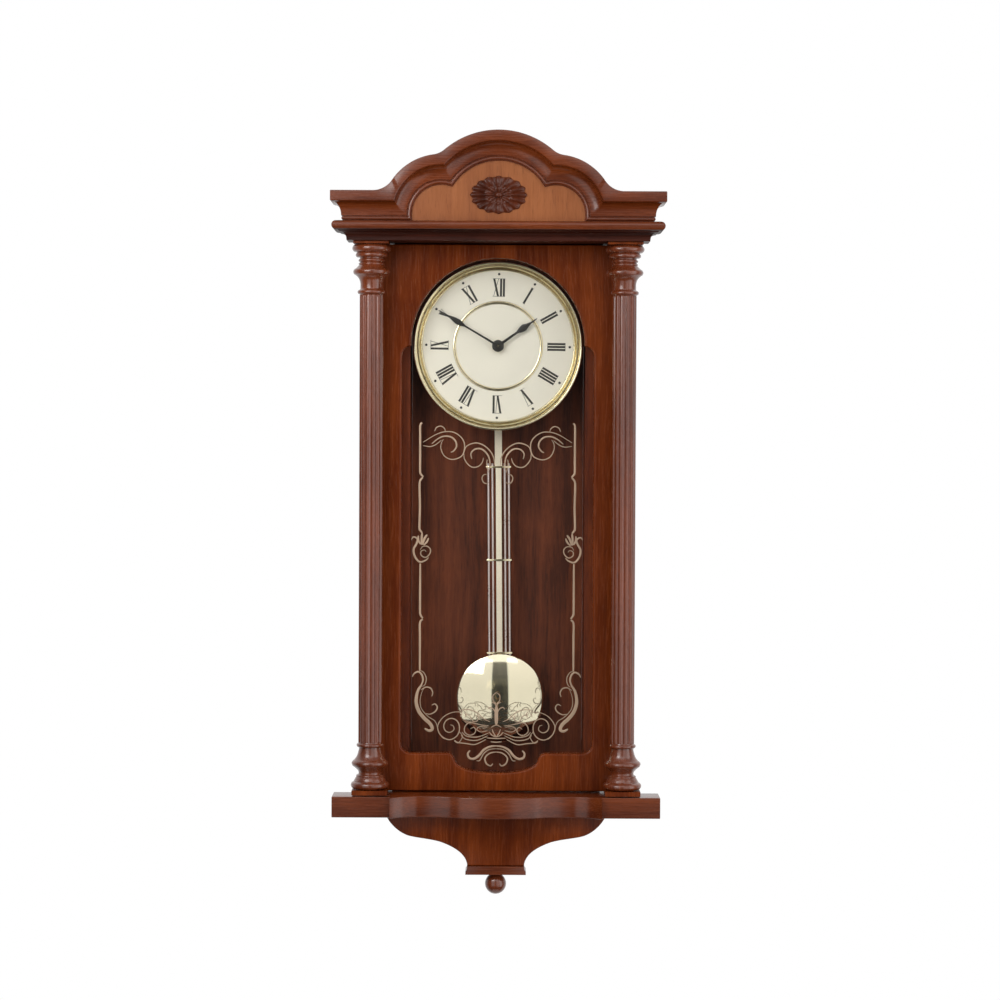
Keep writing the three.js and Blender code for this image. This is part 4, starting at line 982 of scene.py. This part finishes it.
def gilding(strokes, blunt):
    """Every stroke and its mirror image; one that is its own mirror image is drawn once."""
    marks = []
    for width, points in strokes:
        marks.append(brushed(width, points, blunt))
        if {-x for x, _ in points} != {x for x, _ in points}:
            marks.append(brushed(width, [(-x, h) for x, h in points], blunt))
    return combined(*marks)


for name, strokes, blunt in (
    ("gilt_side_bars", SIDE_BARS, 0.7),
    ("gilt_top_scrolls", TOP_SCROLLS, 0.35),
    ("gilt_side_buds", SIDE_BUDS, 0.3),
    ("gilt_corner_leaves", CORNER_LEAVES, 0.3),
    ("gilt_foot_scrolls", FOOT_SCROLLS, 0.45),
):
    piece(name, gilding(strokes, blunt), GILT, body="door")

# ---- carried-over CAD nodes -----------------------------------------------------------------------------

BEADS = [f"glass_bead_{side}" for side in ("left", "right", "top", "bottom")]
ROUNDINGS = {
    1.0: ["side_board_left", "side_board_right"],
    0.7: ["column_base_block_left", "column_base_block_right"],
    0.6: ["top_board", "bottom_board", "lower_back_rail", "hanging_rail", "magnet_catch"],
    0.5: [*BEADS, "dial_board", "movement_case", "movement_cover"],
    0.4: ["back_panel", "column_cap_block_left", "column_cap_block_right"],
}
ROUNDED = {node: radius for radius, nodes in ROUNDINGS.items() for node in nodes}
BEVEL_ANGLE = 40
for name, node in NODES.items():
    if node.hide_render:
        continue
    node.data.materials.clear()
    node.data.materials.append(BOARDS if name.startswith("side_board") else SURFACES[SLOT_OF[name]])
    if name in ROUNDED:
        bevel = node.modifiers.new("arris", "BEVEL")
        bevel.width, bevel.segments, bevel.limit_method = ROUNDED[name] * 0.001, 3, "ANGLE"
        bevel.angle_limit = math.radians(BEVEL_ANGLE)
        bevel.harden_normals = True

# ---- camera, light and floor ----------------------------------------------------------------------------

CAMERA_PITCH, CAMERA_ROLL, CAMERA_DISTANCE = 1.4327, 0.2629, 3.0
CAMERA_LENS, SENSOR_WIDTH = 101.28, 36
target = metres(2.9, -110, 420.96)
pitch = math.radians(CAMERA_PITCH)
camera = bpy.data.objects.new("camera", bpy.data.cameras.new("camera"))
SCENE.collection.objects.link(camera)
camera.data.lens, camera.data.sensor_width = CAMERA_LENS, SENSOR_WIDTH
look = Vector((0, math.cos(pitch), -math.sin(pitch)))
turn = Matrix.Rotation(math.pi / 2 - pitch, 4, "X") @ Matrix.Rotation(math.radians(CAMERA_ROLL), 4, "Z")
camera.matrix_world = Matrix.Translation(target - look * CAMERA_DISTANCE) @ turn
camera.data.clip_end = 50
SCENE.camera = camera


def softbox(name, place, aim, width, height, radiance):
    lamp = bpy.data.lights.new(name, "AREA")
    lamp.shape, lamp.size, lamp.size_y = "RECTANGLE", width, height
    lamp.energy = radiance * math.pi * width * height
    made = bpy.data.objects.new(name, lamp)
    made.location = place
    made.rotation_euler = (Vector(aim) - Vector(place)).to_track_quat("-Z", "Y").to_euler()
    SCENE.collection.objects.link(made)


PANEL_HEIGHT, PANEL_CENTRE, PANEL_AIM = 3.0, -0.2, (0, -0.1, -0.25)


def panel(name, azimuth, distance, width, radiance):
    """A tall softbox beside the camera; the dark gap between left and right shows in the bob."""
    turned = math.radians(azimuth)
    place = (distance * math.sin(turned), PANEL_AIM[1] - distance * math.cos(turned), PANEL_CENTRE)
    softbox(name, place, PANEL_AIM, width, PANEL_HEIGHT, radiance)


panel("left_panel", azimuth=-27, distance=2.4, width=1.6, radiance=0.95)
panel("right_panel", azimuth=42, distance=2.0, width=2.6, radiance=1.0)
panel("far_right_panel", azimuth=64, distance=1.9, width=0.9, radiance=0.85)
softbox("front_panel", (0, -2.1, 1.5), (0, 0, -0.1), width=1.8, height=1.1, radiance=1.2)
softbox("key_lamp", (-0.55, -0.95, 0.2), (0, -0.1, -0.05), width=0.5, height=0.5, radiance=5.4)

WHITE = (1, 1, 1, 1)
world = bpy.data.worlds.new("studio")
SCENE.world = world
world.use_nodes = True
sky = world.node_tree
toward = add(sky, "TexCoord").outputs["Generated"]
axes = add(sky, "SeparateXYZ", {0: toward}).outputs
behind = remap(sky, axes[1], -0.05, 0.35, 0.05, 0.8)  # a pale wall behind, a dark studio in front
above = remap(sky, axes[2], 0.1, 0.9, 0.0, 0.35)  # and a little more light from overhead
backdrop = sky.nodes["Background"]
backdrop.inputs["Color"].default_value = WHITE
sky.links.new(maths(sky, "ADD", behind, above), backdrop.inputs["Strength"])
bright = add(sky, "Background", {"Color": WHITE, "Strength": 1.0})
seen = add(sky, "LightPath").outputs["Is Camera Ray"]
choice = add(sky, "MixShader", {0: seen, 1: backdrop.outputs[0], 2: bright.outputs[0]})
sky.links.new(choice.outputs[0], sky.nodes["World Output"].inputs["Surface"])

FLOOR_HALF, FLOOR_FRONT, FLOOR_BACK, FLOOR_HEIGHT = 0.5, -0.6, 0.4, TIP - 1.1
floor_mesh = bpy.data.meshes.new("floor")
front = [(x, FLOOR_FRONT, FLOOR_HEIGHT) for x in (-FLOOR_HALF, FLOOR_HALF)]
back = [(x, FLOOR_BACK, FLOOR_HEIGHT) for x in (FLOOR_HALF, -FLOOR_HALF)]
floor_mesh.from_pydata(front + back, [], [(0, 1, 2, 3)])
floor_mesh.materials.append(fine("pale_floor", (0.8, 0.79, 0.77), 0.7, grit=60.0, vary=0.03))
floor = bpy.data.objects.new("floor", floor_mesh)
SCENE.collection.objects.link(floor)
SCENE.view_settings.view_transform = "Standard"
